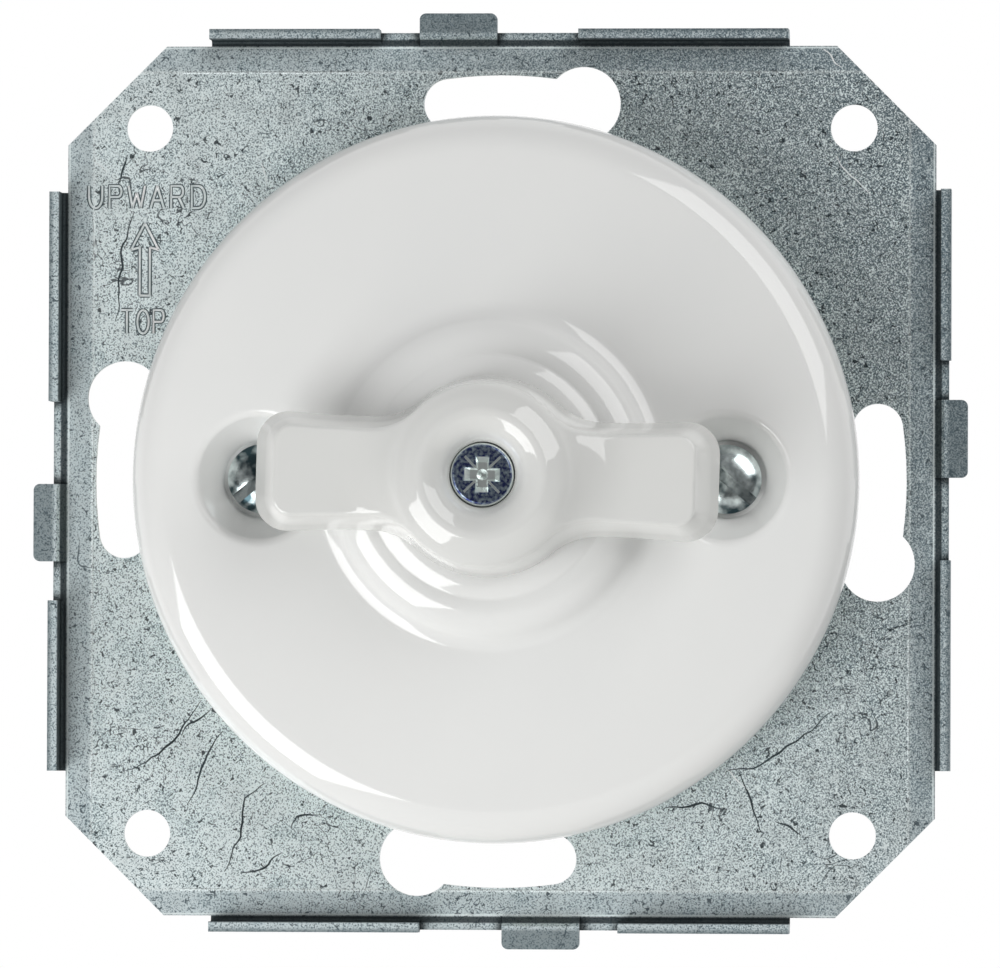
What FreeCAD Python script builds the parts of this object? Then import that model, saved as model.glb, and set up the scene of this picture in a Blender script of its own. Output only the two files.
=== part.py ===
import FreeCAD
import Part
import math
import os
import Sketcher
from collections import namedtuple
from FreeCAD import Placement, Rotation, Vector

# Porcelain rotary switch on a square steel mounting plate, for a round flush box.
# Lengths are in millimetres and angles in degrees. Each piece is drawn with x to the right, y up and
# z from the wall towards the room, from the back of the plate on the spindle's axis, and is then
# turned upright, so that the switch faces the -Y side of the shared frame.

doc = FreeCAD.newDocument("RotarySwitch")
sheet = doc.addObject("Spreadsheet::Sheet", "Dims")
place_sheet = doc.addObject("Spreadsheet::Sheet", "Places")

# Sizes that can be set one by one
sizes = {
    # Mounting plate
    "sheet_steel": 0.8,  # thickness of the plate's sheet
    "flange_span": 71.0,  # across the outer faces of the flanges
    "side_setback": 1.25,  # edge beside the cut corners, back from the flanges
    "rail_setback": 0.2,  # edge of the flat rails, back from the flanges
    "tab_reach": 1.3,  # tip of a tab beyond the flanges
    "corner_cut": 7.8,  # leg of the cut corners
    "flange_rise": 2.2,  # flange above the plate's front
    "bend_radius": 0.3,  # inner radius of the flange bend
    "short_flange_start": 9.5,  # near end of the short flange from the middle of its side
    "short_flange_length": 13.4,
    "long_flange_start": 6.2,  # near end of the long flange from the middle of its side
    "long_flange_length": 16.5,
    "tab_start": 0.3,  # near side of a tab from the middle of its side
    "tab_width": 6.1,
    "tab_corner": 0.5,  # rounding of the tab's corners
    "throat_play": 0.3,  # gap round the base in the plate's throat
    "corner_hole_inset": 7.7,  # corner holes, back from the flanges
    "corner_hole_diameter": 3.7,
    "slot_margin": 3.3,  # sheet between a slot and the rail's edge
    "slot_width": 4.0,
    "slot_tail_angle": 7.9,  # narrow end of a slot from the middle of its side
    "keyhole_angle": 12.3,  # wide end of a slot from the middle of its side
    "keyhole_diameter": 5.9,  # wide end of a slot
    "keyhole_offset": 0.4,  # wide end further out than its slot
    "collar_wall": 0.65,  # wall of the plunged collars for the base screws
    "collar_depth": 1.4,  # plunged collars behind the plate
    "collar_margin": 0.6,  # sheet between a collar and the throat

    # Cover
    "cover_diameter": 57.0,
    "rim_drop": 1.6,  # rim below the inside of the cover
    "rim_rise": 1.9,  # widest level of the rim above its underside
    "rim_foot_radius": 0.8,  # rounding under the rim
    "rim_radius": 2.6,  # rounding on top of the rim
    "rim_width": 3.4,  # width of the rim's underside
    "dome_radius": 120.0,  # curve of the cover's top
    "boss_rise": 1.01,  # flat of the boss above the crown of that curve
    "boss_foot_radius": 3.0,  # hollow curve at the foot of the boss
    "boss_edge_radius": 1.9,  # round curve at the edge of the boss
    "boss_ledge": 0.8,  # flat of the boss round the ring
    "boss_wall": 2.0,  # side wall of the boss
    "boss_roof": 2.8,  # thickness of the boss under its flat
    "ring_margin": 0.85,  # ring on the boss, beyond the knob's hub
    "ring_slope": 1.0,  # width of the ring's slope
    "ring_step": 0.4,  # ring above the boss
    "post_height": 3.4,  # posts under the cover
    "post_diameter": 8.0,
    "dish_sink": 0.4,  # floor of the dished recesses below the inside of the cover
    "dish_depth": 4.7,  # depth of a recess at its wide end
    "dish_flare": 0.8,  # widening of a recess over that depth
    "dish_lip": 1.0,  # rounding of the recess lip

    # Knob
    "knob_length": 36.0,  # over the wings
    "knob_gap": 0.4,  # gap between knob and cover
    "wing_neck": 8.84,  # width of the wings beside the hub
    "wing_flare": 90.0,  # radius of the wings' slightly hollow sides
    "wing_corner": 2.4,  # rounding of the wings' corners in plan
    "wing_height": 4.2,
    "hub_diameter": 15.7,  # hub between the wings
    "hub_blend": 5.6,  # hollow curve from hub to wing in plan
    "hub_rise": 3.6,  # crest of the hub above the wings
    "crest_radius": 4.8,  # distance of the crest from the axis
    "crest_outer": 2.8,  # round curve outside the crest
    "crest_inner": 1.5,  # round curve inside the crest
    "saddle_radius": 4.0,  # hollow curve from hub to wing in height
    "funnel_angle": 58.0,  # slope inside the crest
    "knob_draft": 9.0,  # draft of the knob's sides
    "wing_edge": 0.6,  # rounding of the knob's upper edge
    "knob_foot": 0.6,  # rounding of the knob's lower edge
    "spigot_diameter": 10.0,
    "spigot_length": 3.2,
    "spigot_play": 0.4,  # gap round the spigot in the cover
    "seat_sink": 0.2,  # seat of the knob screw below the wings
    "seat_web": 1.4,  # porcelain between that seat and the socket
    "socket_play": 0.1,  # gap round the spindle's square in the socket
    "socket_gap": 0.2,  # gap above the spindle in the socket
    "knob_play": -1.5,  # angle at which the knob sits in its socket's play

    # Screws
    "thread_diameter": 2.9,  # screws of the cover, the knob and the terminals
    "small_thread_diameter": 2.4,  # screws of the base and the bridge
    "thread_play": 0.05,  # gap round a screw in its threaded hole
    "screw_clearance": 0.2,  # gap round a screw in a plain hole
    "blind_depth": 0.5,  # blind holes beyond the ends of their screws
    "slot_cut": 0.9,  # width and depth of a screw slot
    "cover_head_diameter": 5.4,
    "cover_head_height": 1.8,
    "cover_head_round": 0.9,
    "cover_head_play": 0.3,  # gap round the head on the floor of its recess
    "cover_screw_length": 8.8,
    "right_slot_angle": -40.0,  # slot of the right cover screw
    "left_slot_angle": 35.0,  # slot of the left cover screw
    "knob_head_diameter": 5.1,
    "knob_head_height": 2.0,
    "knob_head_round": 0.7,
    "knob_head_play": 0.25,  # gap round the head in the knob
    "knob_screw_length": 8.3,
    "cross_length": 2.7,  # cross recess of the knob screw
    "cross_width": 0.7,
    "cross_depth": 1.2,
    "base_head_diameter": 4.6,  # countersunk head of a base screw
    "base_head_depth": 1.1,
    "base_screw_length": 5.2,
    "base_slot_angle": 45.0,
    "bridge_head_diameter": 4.2,
    "bridge_head_height": 1.5,
    "bridge_screw_length": 6.3,
    "bridge_slot_angle": 30.0,
    "terminal_head_diameter": 6.0,
    "terminal_head_height": 2.2,
    "terminal_screw_stand": 0.4,  # end of a terminal screw beyond its nut
    "way_one_slot_angle": 20.0,
    "way_two_slot_angle": 65.0,
    "common_slot_angle": -30.0,
    "tight_fit": 0.02,  # gap round pieces set into each other

    # Base
    "base_flange": 2.0,  # thickness of the flange in front of the plate
    "base_flange_margin": 0.5,  # flange beyond the heads of the base screws
    "base_depth": 27.0,  # rear face behind the plate's back
    "base_wall": 7.5,  # wall round the cavity
    "base_edge": 1.0,  # rounding of the rear edge
    "cavity_play": 0.4,  # gap round the feet of the fingers
    "notch_depth": 5.5,  # terminal notches in the rear
    "notch_web": 4.5,  # base between a notch and the cavity
    "clamp_play": 0.5,  # gap beside a clamp washer in its notch
    "clamp_end_play": 0.6,  # gap at its inner end
    "insert_wall": 0.7,  # brass inserts for the cover screws
    "insert_length": 6.8,
    "insert_margin": 2.4,  # base between an insert and the cavity

    # Spindle and its bearing
    "bridge_width": 13.0,
    "bridge_thickness": 1.2,
    "bridge_end": 1.6,  # end of the bridge inside the base's outline
    "bridge_play": 0.2,  # gap round the bridge in its slot
    "bridge_screw_inset": 2.7,  # bridge screws from the ends of the bridge
    "journal_diameter": 6.0,  # round journal of the spindle
    "journal_play": 0.03,  # gap round the journal in the bush
    "journal_stand": 0.2,  # journal above the bush
    "bush_wall": 1.47,
    "bush_lip": 1.5,  # width of the flange of the bush
    "bush_flange": 1.0,  # thickness of that flange
    "bush_stake": 0.7,  # width of the rolled edge behind the bridge
    "bush_stake_height": 0.8,
    "bush_height": 4.2,  # bush above the base
    "collar_lip": 1.5,  # width of the spindle's collar
    "collar_thickness": 1.6,
    "washer_lip": 0.5,  # thrust washer beyond the collar
    "washer_thickness": 0.5,
    "washer_gap": 0.05,  # gap on each side of the washer
    "drive_side": 5.0,  # square of the spindle for cam and rotor
    "drive_play": 0.05,  # gap round that square
    "pivot_diameter": 4.0,  # rear pivot
    "pivot_length": 3.3,  # rear pivot below the floor of the cavity
    "pivot_play": 0.05,  # gap round the rear pivot
    "pivot_gap": 0.3,  # gap below the rear pivot
    "knob_square": 4.2,  # square of the spindle for the knob

    # Detent
    "cam_width": 11.0,  # index cam across its flats
    "cam_thickness": 2.8,
    "cam_corner": 2.5,  # rounding of the cam's corners
    "spring_gap": 0.05,  # gap between cam and spring
    "spring_thickness": 0.4,  # leaf of a detent spring
    "spring_bow": 0.7,
    "spring_anchor": 0.6,  # ends of the springs beyond the cavity
    "spring_drop": 0.3,  # upper edge of a spring below the cam's face
    "spring_lift": 0.2,  # lower edge of a spring above the cam's other face
    "groove_play": 0.2,  # play of the springs in their grooves

    # Rotor and contacts
    "rotor_core": 12.2,  # drum under the contact crown
    "rotor_hub_wall": 1.85,  # bosses of the drum round the spindle's square
    "rotor_neck_height": 0.8,  # boss between drum and cam
    "rotor_foot_height": 0.5,  # boss below the drum
    "rotor_gap": 0.1,  # gap between that boss and the floor of the cavity
    "rotor_rim": 0.4,  # drum below the slip ring
    "crown_wall": 0.88,
    "crown_proud": 0.05,  # contact crown beyond the drum
    "ring_height": 3.8,  # slip ring
    "segment_height": 3.8,
    "segment_angle": 30.0,  # half the angle of a segment
    "finger_gap": 0.05,  # gap between crown and contact finger
    "finger_thickness": 0.4,
    "finger_width": 4.0,
    "finger_reach": 1.3,  # upright of a finger from the crown
    "finger_lean": 2.4,  # height over which a finger leans in
    "finger_tip": 1.6,  # tip of a finger above its contact point
    "foot_margin": 2.2,  # foot of a finger beyond its screw
    "nut_side": 4.4,  # square terminal nut
    "nut_height": 1.8,
    "nut_play": 0.1,  # gap between nut and finger
    "clamp_side": 8.0,  # square clamp washer
    "clamp_thickness": 1.0,
}

# Sizes and levels that follow from them, so that pieces keep their seats. Levels count from the back
# of the plate towards the room.
places = {
    "base_front": "=Dims.sheet_steel + Dims.base_flange",
    "base_rear": "=-Dims.base_depth",
    "notch_floor": "=base_rear + Dims.notch_depth",
    "cavity_floor": "=notch_floor + Dims.notch_web",
    "thread_hole": "=Dims.thread_diameter + 2 * Dims.thread_play",
    "small_thread_hole": "=Dims.small_thread_diameter + 2 * Dims.thread_play",

    # Spindle, from its bush down to its pivot
    "bush_low": "=base_front - Dims.bridge_thickness - Dims.bush_stake_height",
    "bush_top": "=base_front + Dims.bush_height",
    "bush_diameter": "=Dims.journal_diameter + 2 * Dims.journal_play + 2 * Dims.bush_wall",
    "bush_flange_diameter": "=bush_diameter + 2 * Dims.bush_lip",
    "bush_stake_diameter": "=bush_diameter + 2 * Dims.bush_stake",
    "journal_top": "=bush_top + Dims.journal_stand",
    "washer_high": "=bush_low - Dims.washer_gap",
    "washer_low": "=washer_high - Dims.washer_thickness",
    "collar_top": "=washer_low - Dims.washer_gap",
    "collar_low": "=collar_top - Dims.collar_thickness",
    "collar_width": "=Dims.journal_diameter + 2 * Dims.collar_lip",
    "washer_diameter": "=collar_width + 2 * Dims.washer_lip",
    "pivot_low": "=cavity_floor - Dims.pivot_length",
    "pivot_floor": "=pivot_low - Dims.pivot_gap",
    "cam_low": "=collar_low - Dims.cam_thickness",
    "spring_high": "=collar_low - Dims.spring_drop",
    "spring_low": "=cam_low + Dims.spring_lift",

    # Rotor, from the floor of the cavity up to the cam
    "rotor_hub": "=Dims.drive_side + 2 * Dims.drive_play + 2 * Dims.rotor_hub_wall",
    "rotor_foot_low": "=cavity_floor + Dims.rotor_gap",
    "rotor_low": "=rotor_foot_low + Dims.rotor_foot_height",
    "ring_low": "=rotor_low + Dims.rotor_rim",
    "segment_low": "=ring_low + Dims.ring_height",
    "segment_high": "=segment_low + Dims.segment_height",
    "rotor_high": "=cam_low - Dims.rotor_neck_height",
    "crown_diameter": "=Dims.rotor_core + 2 * Dims.tight_fit + 2 * Dims.crown_wall",
    "rotor_diameter": "=crown_diameter - 2 * Dims.crown_proud",
    "common_level": "=(ring_low + segment_low) / 2",
    "way_level": "=(segment_low + segment_high) / 2",

    # Contacts and base, from the crown outwards
    "finger_root": "=crown_diameter / 2 + Dims.finger_reach",
    "terminal_radius": "=finger_root + Dims.finger_thickness + Dims.nut_play + Dims.nut_side / 2",
    "finger_foot": "=terminal_radius + Dims.foot_margin",
    "nut_low": "=cavity_floor + Dims.finger_thickness",
    "nut_high": "=nut_low + Dims.nut_height",
    "terminal_screw_end": "=nut_high + Dims.terminal_screw_stand",
    "notch_start": "=terminal_radius - Dims.clamp_side / 2 - Dims.clamp_end_play",
    "notch_width": "=Dims.clamp_side + 2 * Dims.clamp_play",
    "cavity_diameter": "=2 * (finger_foot + Dims.cavity_play)",
    "spring_length": "=cavity_diameter + 2 * Dims.spring_anchor",
    "base_diameter": "=cavity_diameter + 2 * Dims.base_wall",
    "bridge_length": "=base_diameter - 2 * Dims.bridge_end",
    "bridge_screw_pitch": "=bridge_length - 2 * Dims.bridge_screw_inset",
    "bridge_screw_end": "=base_front - Dims.bridge_screw_length",
    "insert_diameter": "=thread_hole + 2 * Dims.insert_wall",
    "insert_low": "=base_front - Dims.insert_length",
    "cover_screw_pitch": "=cavity_diameter + insert_diameter + 2 * Dims.insert_margin",
    "throat_diameter": "=base_diameter + 2 * Dims.throat_play",
    "collar_diameter": "=small_thread_hole + 2 * Dims.collar_wall",
    "base_screw_circle": "=throat_diameter + collar_diameter + 2 * Dims.collar_margin",
    "base_screw_end": "=base_front - Dims.base_screw_length",
    "base_flange_diameter": "=base_screw_circle + Dims.base_head_diameter + 2 * Dims.base_flange_margin",

    # Mounting plate, from its flanges
    "plate_side": "=Dims.flange_span - 2 * Dims.side_setback",
    "rail_span": "=Dims.flange_span - 2 * Dims.rail_setback",
    "tab_span": "=Dims.flange_span + 2 * Dims.tab_reach",
    "tab_end": "=Dims.tab_start + Dims.tab_width",
    "short_flange_end": "=Dims.short_flange_start + Dims.short_flange_length",
    "long_flange_end": "=Dims.long_flange_start + Dims.long_flange_length",
    "corner_hole_pitch": "=Dims.flange_span - 2 * Dims.corner_hole_inset",
    "slot_pitch": "=rail_span - 2 * Dims.slot_margin - Dims.slot_width",
    "keyhole_circle": "=slot_pitch + 2 * Dims.keyhole_offset",

    # Cover, from the front of the base
    "cover_ceiling": "=base_front + Dims.post_height",
    "rim_low": "=cover_ceiling - Dims.rim_drop",
    "rim_middle": "=rim_low + Dims.rim_rise",
    "rim_centre": "=Dims.cover_diameter / 2 - Dims.rim_radius",
    "dome_drop": "=Dims.dome_radius - Dims.rim_radius",
    "dome_height": "=sqrt(dome_drop ^ 2 - rim_centre ^ 2)",
    "dome_level": "=rim_middle - dome_height",
    "boss_level": "=dome_level + Dims.dome_radius + Dims.boss_rise",
    "boss_ceiling": "=boss_level - Dims.boss_roof",
    "ring_level": "=boss_level + Dims.ring_step",
    "ring_edge": "=Dims.hub_diameter / 2 + Dims.ring_margin",
    "ring_foot": "=ring_edge + Dims.ring_slope",
    "boss_flat_radius": "=ring_foot + Dims.boss_ledge",
    "boss_inside": "=2 * (boss_flat_radius - Dims.boss_wall)",
    "cover_bore": "=Dims.spigot_diameter + 2 * Dims.spigot_play",
    "dish_seat": "=cover_ceiling - Dims.dish_sink",
    "dish_low_diameter": "=Dims.cover_head_diameter + 2 * Dims.cover_head_play",
    "cover_screw_end": "=dish_seat - Dims.cover_screw_length",

    # Knob, from the ring on the cover
    "knob_base": "=ring_level + Dims.knob_gap",
    "wing_level": "=knob_base + Dims.wing_height",
    "hub_level": "=wing_level + Dims.hub_rise",
    "spigot_low": "=knob_base - Dims.spigot_length",
    "knob_seat": "=wing_level - Dims.seat_sink",
    "knob_seat_diameter": "=Dims.knob_head_diameter + 2 * Dims.knob_head_play",
    "socket_side": "=Dims.knob_square + 2 * Dims.socket_play",
    "socket_top": "=knob_seat - Dims.seat_web",
    "knob_screw_hole": "=Dims.thread_diameter + 2 * Dims.screw_clearance",
    "knob_screw_end": "=knob_seat - Dims.knob_screw_length",
    "spindle_top": "=socket_top - Dims.socket_gap",
    "spindle_bore_end": "=knob_screw_end - Dims.blind_depth",
}


def fill(cells, page):
    """Write named cells on a sheet, one below the other."""
    for row, (alias, content) in enumerate(cells.items(), 1):
        page.set(f"A{row}", alias.replace("_", " "))
        page.set(f"B{row}", str(content))
        page.setAlias(f"B{row}", alias)
    doc.recompute()


fill(sizes, sheet)
fill(places, place_sheet)

upright = Placement(Vector(0, 0, 0), Rotation(Vector(1, 0, 0), 90))
subparts = []

# A step of an outline leads to the point x, y: straight, or by an arc with a radius that turns left
# or right. A smooth point joins its two curves without a corner, and a loose one is found by that.
Step = namedtuple("Step", "x y radius turn smooth loose", defaults=(None, None, False, False))


def value(expression):
    """The present value of an expression of sheet sizes."""
    return float(sheet.evalExpression(str(expression)))


def new_body(label, angle="0"):
    """A body for one piece, turned about the spindle's axis by an angle and set upright."""
    body = doc.addObject("PartDesign::Body", label)
    body.Label = label
    body.Placement = upright * Placement(Vector(0, 0, 0), Rotation(Vector(0, 0, 1), value(angle)))
    subparts.append(body)
    return body


def new_sketch(body, role, level="0"):
    """An empty sketch on one of the body's own planes, at a level above it."""
    sketch = body.newObject("Sketcher::SketchObject", body.Label + "_sketch")
    support = [feature for feature in body.Origin.OriginFeatures if feature.Role == role][0]
    sketch.AttachmentSupport = [(support, "")]
    sketch.MapMode = "FlatFace"
    sketch.setExpression("AttachmentOffset.Base.z", str(level))
    return sketch


def pin(sketch, bound):
    """Add constraints to a sketch, each bound to its expression."""
    indices = sketch.addConstraint([constraint for constraint, expression in bound])
    for index, (constraint, expression) in zip(indices, bound):
        sketch.setExpression(f"Constraints[{index}]", str(expression))


def arc_between(start, end, radius, turn):
    """The shorter arc from start to end that turns left or right on its way."""
    chord = end - start
    reach = math.sqrt(max(radius ** 2 - (chord.Length / 2) ** 2, 0))
    side = Vector(-chord.y, chord.x, 0).normalize() * reach
    centre = (start + end) * 0.5 + (side if turn == "left" else side * -1)
    circle = Part.Circle(centre, Vector(0, 0, 1), radius)
    first, last = (start, end) if turn == "left" else (end, start)
    angles = [math.atan2(point.y - centre.y, point.x - centre.x) for point in (first, last)]
    if angles[1] < angles[0]:
        angles[1] += 2 * math.pi
    return Part.ArcOfCircle(circle, angles[0], angles[1])


def draw(sketch, steps):
    """Draw one closed outline. Its first step leads from the last point to the first."""
    points = [Vector(value(step.x), value(step.y), 0) for step in steps]
    first = sketch.GeometryCount
    ends = []
    bound = []
    for index, step in enumerate(steps):
        if step.radius is None:
            sketch.addGeometry(Part.LineSegment(points[index - 1], points[index]))
        else:
            curve = arc_between(points[index - 1], points[index], value(step.radius), step.turn)
            sketch.addGeometry(curve)
            bound.append((Sketcher.Constraint("Radius", first + index, value(step.radius)), step.radius))
        ends.append((2, 1) if step.turn == "right" else (1, 2))
    joints = []
    for index, step in enumerate(steps):
        following = (index + 1) % len(steps)
        kind = "Tangent" if step.smooth else "Coincident"
        joint = (first + index, ends[index][1], first + following, ends[following][0])
        joints.append(Sketcher.Constraint(kind, *joint))
        if not step.loose:
            place = (-1, 1, first + index, ends[index][1])
            bound.append((Sketcher.Constraint("DistanceX", *place, points[index].x), step.x))
            bound.append((Sketcher.Constraint("DistanceY", *place, points[index].y), step.y))
    sketch.addConstraint(joints)
    pin(sketch, bound)
    return first


def draw_circles(sketch, spots, diameter):
    """Draw equal circles at the given x, y places."""
    for x, y in spots:
        index = sketch.GeometryCount
        centre = Vector(value(x), value(y), 0)
        sketch.addGeometry(Part.Circle(centre, Vector(0, 0, 1), value(diameter) / 2))
        pin(sketch, [
            (Sketcher.Constraint("Diameter", index, value(diameter)), diameter),
            (Sketcher.Constraint("DistanceX", -1, 1, index, 3, centre.x), x),
            (Sketcher.Constraint("DistanceY", -1, 1, index, 3, centre.y), y),
        ])


def box_steps(left, low, right, high):
    """The four corners of an upright rectangle."""
    return [Step(left, low), Step(right, low), Step(right, high), Step(left, high)]


def feature_of(body, kind, sketch):
    """A sketch-based feature of a body."""
    feature = body.newObject("PartDesign::" + kind, body.Label + "_" + kind.lower())
    feature.Profile = sketch
    return feature


def pad(body, sketch, length, symmetric=False):
    """Raise a sketch into a solid."""
    feature = feature_of(body, "Pad", sketch)
    feature.setExpression("Length", str(length))
    if symmetric:
        feature.SideType = "Symmetric"
    return feature


def cut(body, sketch, length, symmetric=False):
    """Cut a sketch into the body, down from the sketch's level."""
    feature = feature_of(body, "Pocket", sketch)
    feature.setExpression("Length", str(length))
    if symmetric:
        feature.SideType = "Symmetric"
    return feature


def turn(body, steps, kind="Revolution"):
    """Turn a radius and height outline about the spindle's axis."""
    sketch = new_sketch(body, "XZ_Plane")
    draw(sketch, steps)
    return turn_sketch(body, sketch, kind)


def turn_sketch(body, sketch, kind):
    """Turn a finished sketch about its upright axis."""
    feature = feature_of(body, kind, sketch)
    feature.ReferenceAxis = (sketch, ["V_Axis"])
    feature.Angle = 360
    return feature


def discs(body, spots, diameter, low, high):
    """Round pads at the given places, from a low to a high level."""
    sketch = new_sketch(body, "XY_Plane", low)
    draw_circles(sketch, spots, diameter)
    return pad(body, sketch, f"({high}) - ({low})")


def holes(body, spots, diameter, low, high):
    """Round holes at the given places, from a high down to a low level."""
    sketch = new_sketch(body, "XY_Plane", high)
    draw_circles(sketch, spots, diameter)
    return cut(body, sketch, f"({high}) - ({low})")


def slab(body, steps, low, high):
    """A pad of any outline, from a low to a high level."""
    sketch = new_sketch(body, "XY_Plane", low)
    draw(sketch, steps)
    return pad(body, sketch, f"({high}) - ({low})")


def trench(body, steps, low, high):
    """A cut of any outline, from a high down to a low level."""
    sketch = new_sketch(body, "XY_Plane", high)
    draw(sketch, steps)
    return cut(body, sketch, f"({high}) - ({low})")


def around(body, features, count):
    """Repeat features about the spindle's axis."""
    pattern = body.newObject("PartDesign::PolarPattern", body.Label + "_pattern")
    pattern.Originals = features
    pattern.Axis = ([axis for axis in body.Origin.OriginFeatures if axis.Role == "Z_Axis"][0], [""])
    pattern.Angle = 360
    pattern.Occurrences = count
    body.Tip = pattern
    return pattern


def round_edges(body, radius, chosen):
    """Round the edges that a test picks out."""
    doc.recompute()
    tip = body.Tip
    names = [f"Edge{index}" for index, edge in enumerate(tip.Shape.Edges, 1) if chosen(edge)]
    fillet = body.newObject("PartDesign::Fillet", body.Label + "_rounding")
    fillet.Base = (tip, names)
    fillet.setExpression("Radius", str(radius))
    return fillet


def level_edge(level, shortest=0.0):
    """A test for edges that lie flat at one level."""
    height = value(level)

    def lies_flat(edge):
        box = edge.BoundBox
        return max(abs(box.ZMin - height), abs(box.ZMax - height)) < 0.001 and edge.Length > shortest

    return lies_flat


def slot_steps(x, y, length, width, angle):
    """A narrow rectangle about a place, turned by an angle."""
    along_x = f"({length}) / 2 * cos({angle})"
    along_y = f"({length}) / 2 * sin({angle})"
    across_x = f"({width}) / 2 * sin({angle})"
    across_y = f"({width}) / 2 * cos({angle})"
    return [
        Step(f"{x} - {along_x} + {across_x}", f"{y} - {along_y} - {across_y}"),
        Step(f"{x} + {along_x} + {across_x}", f"{y} + {along_y} - {across_y}"),
        Step(f"{x} + {along_x} - {across_x}", f"{y} + {along_y} + {across_y}"),
        Step(f"{x} - {along_x} - {across_x}", f"{y} - {along_y} + {across_y}"),
    ]


centre_spot = [("0", "0")]
cover_spots = [("Places.cover_screw_pitch / 2", "0"), ("-Places.cover_screw_pitch / 2", "0")]
base_reach = "Places.base_screw_circle / 2 * sqrt(0.5)"
base_spots = [(base_reach, base_reach), ("-" + base_reach, "-" + base_reach)]
bridge_spots = [("0", "Places.bridge_screw_pitch / 2"), ("0", "-Places.bridge_screw_pitch / 2")]
terminal_spots = [
    ("Places.terminal_radius", "0"),
    ("0", "Places.terminal_radius"),
    ("-Places.terminal_radius", "0"),
]


# The mounting plate is one pressed sheet. The features of its upper side repeat on the other three.
def build_plate():
    plate = new_body("mounting_plate")
    half = "Places.plate_side / 2"
    cut_end = f"({half} - Dims.corner_cut)"
    slab(plate, [
        Step(half, "-" + cut_end), Step(half, cut_end), Step(cut_end, half), Step("-" + cut_end, half),
        Step("-" + half, cut_end), Step("-" + half, "-" + cut_end), Step("-" + cut_end, "-" + half),
        Step(cut_end, "-" + half),
    ], "0", "Dims.sheet_steel")

    rail = box_steps("-Dims.short_flange_start", "0", "Dims.long_flange_start", "Places.rail_span / 2")
    sides = [slab(plate, rail, "0", "Dims.sheet_steel")]
    for near, far in (("-Dims.short_flange_start", "-Places.short_flange_end"),
                      ("Places.long_flange_end", "Dims.long_flange_start")):
        sides.append(build_flange(plate, near, far))
    sides.append(build_tab(plate))
    around(plate, sides, 4)
    tip = value("Places.tab_span / 2")

    def is_tab_corner(edge):
        middle = edge.CenterOfMass
        upright_edge = edge.BoundBox.ZLength > value("Dims.sheet_steel / 2")
        return upright_edge and abs(max(abs(middle.x), abs(middle.y)) - tip) < 0.001

    round_edges(plate, "Dims.tab_corner", is_tab_corner)
    holes(plate, centre_spot, "Places.throat_diameter", "0", "Dims.sheet_steel")
    openings = build_slot(plate)
    corner = [("Places.corner_hole_pitch / 2", "Places.corner_hole_pitch / 2")]
    openings.append(holes(plate, corner, "Dims.corner_hole_diameter", "0", "Dims.sheet_steel"))
    around(plate, openings, 4)
    doc.recompute()
    discs(plate, base_spots, "Places.collar_diameter", "-Dims.collar_depth", "0")
    holes(plate, base_spots, "Places.small_thread_hole", "-Dims.collar_depth", "Dims.sheet_steel")


def build_flange(plate, near, far):
    """An upright flange on the upper side, bent forward from the sheet."""
    outer = "Dims.flange_span / 2"
    inner = f"({outer} - Dims.sheet_steel)"
    bend = "(Dims.bend_radius + Dims.sheet_steel)"
    top = "Dims.sheet_steel + Dims.flange_rise"
    root = "(Places.plate_side / 2 - Dims.sheet_steel)"
    sketch = new_sketch(plate, "YZ_Plane", far)
    draw(sketch, [
        Step(root, "0"),
        Step(f"{outer} - {bend}", "0"),
        Step(outer, bend, bend, "left"),
        Step(outer, top),
        Step(inner, top),
        Step(inner, bend),
        Step(f"{inner} - Dims.bend_radius", "Dims.sheet_steel", "Dims.bend_radius", "right"),
        Step(root, "Dims.sheet_steel"),
    ])
    return pad(plate, sketch, f"{near} - ({far})")


def build_tab(plate):
    """An interlocking tab on the upper side, set forward by one sheet so that it overlaps a neighbour."""
    tip = "Places.tab_span / 2"
    edge = "Places.rail_span / 2"
    sheet_steel = "Dims.sheet_steel"
    sketch = new_sketch(plate, "YZ_Plane", "-Places.tab_end")
    draw(sketch, [
        Step(f"{edge} - 2 * {sheet_steel}", "0"),
        Step(f"{edge} - {sheet_steel}", "0"),
        Step(edge, sheet_steel),
        Step(tip, sheet_steel),
        Step(tip, f"2 * {sheet_steel}"),
        Step(f"{edge} - 0.4 * {sheet_steel}", f"2 * {sheet_steel}"),
        Step(f"{edge} - 1.4 * {sheet_steel}", sheet_steel),
        Step(f"{edge} - 2 * {sheet_steel}", sheet_steel),
    ])
    return pad(plate, sketch, "Places.tab_end - Dims.tab_start")


def build_slot(plate):
    """A box screw slot on the upper side: an arc-shaped slot with a wide round end to the right."""
    middle = "Places.slot_pitch / 2"
    inner = f"({middle} - Dims.slot_width / 2)"
    outer = f"({middle} + Dims.slot_width / 2)"
    tail = "Dims.slot_tail_angle"
    wide = "Dims.keyhole_angle"
    sketch = new_sketch(plate, "XY_Plane", "Dims.sheet_steel")
    draw(sketch, [
        Step(f"-{inner} * sin({tail})", f"{inner} * cos({tail})"),
        Step(f"{inner} * sin({wide})", f"{inner} * cos({wide})", inner, "right"),
        Step(f"{outer} * sin({wide})", f"{outer} * cos({wide})"),
        Step(f"-{outer} * sin({tail})", f"{outer} * cos({tail})", outer, "left"),
    ])
    slot = cut(plate, sketch, "Dims.sheet_steel")
    narrow_end = (f"-{middle} * sin({tail})", f"{middle} * cos({tail})")
    wide_end = (f"Places.keyhole_circle / 2 * sin({wide})", f"Places.keyhole_circle / 2 * cos({wide})")
    ends = [
        holes(plate, [narrow_end], "Dims.slot_width", "0", "Dims.sheet_steel"),
        holes(plate, [wide_end], "Dims.keyhole_diameter", "0", "Dims.sheet_steel"),
    ]
    around(plate, [slot], 4)
    return ends


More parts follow.
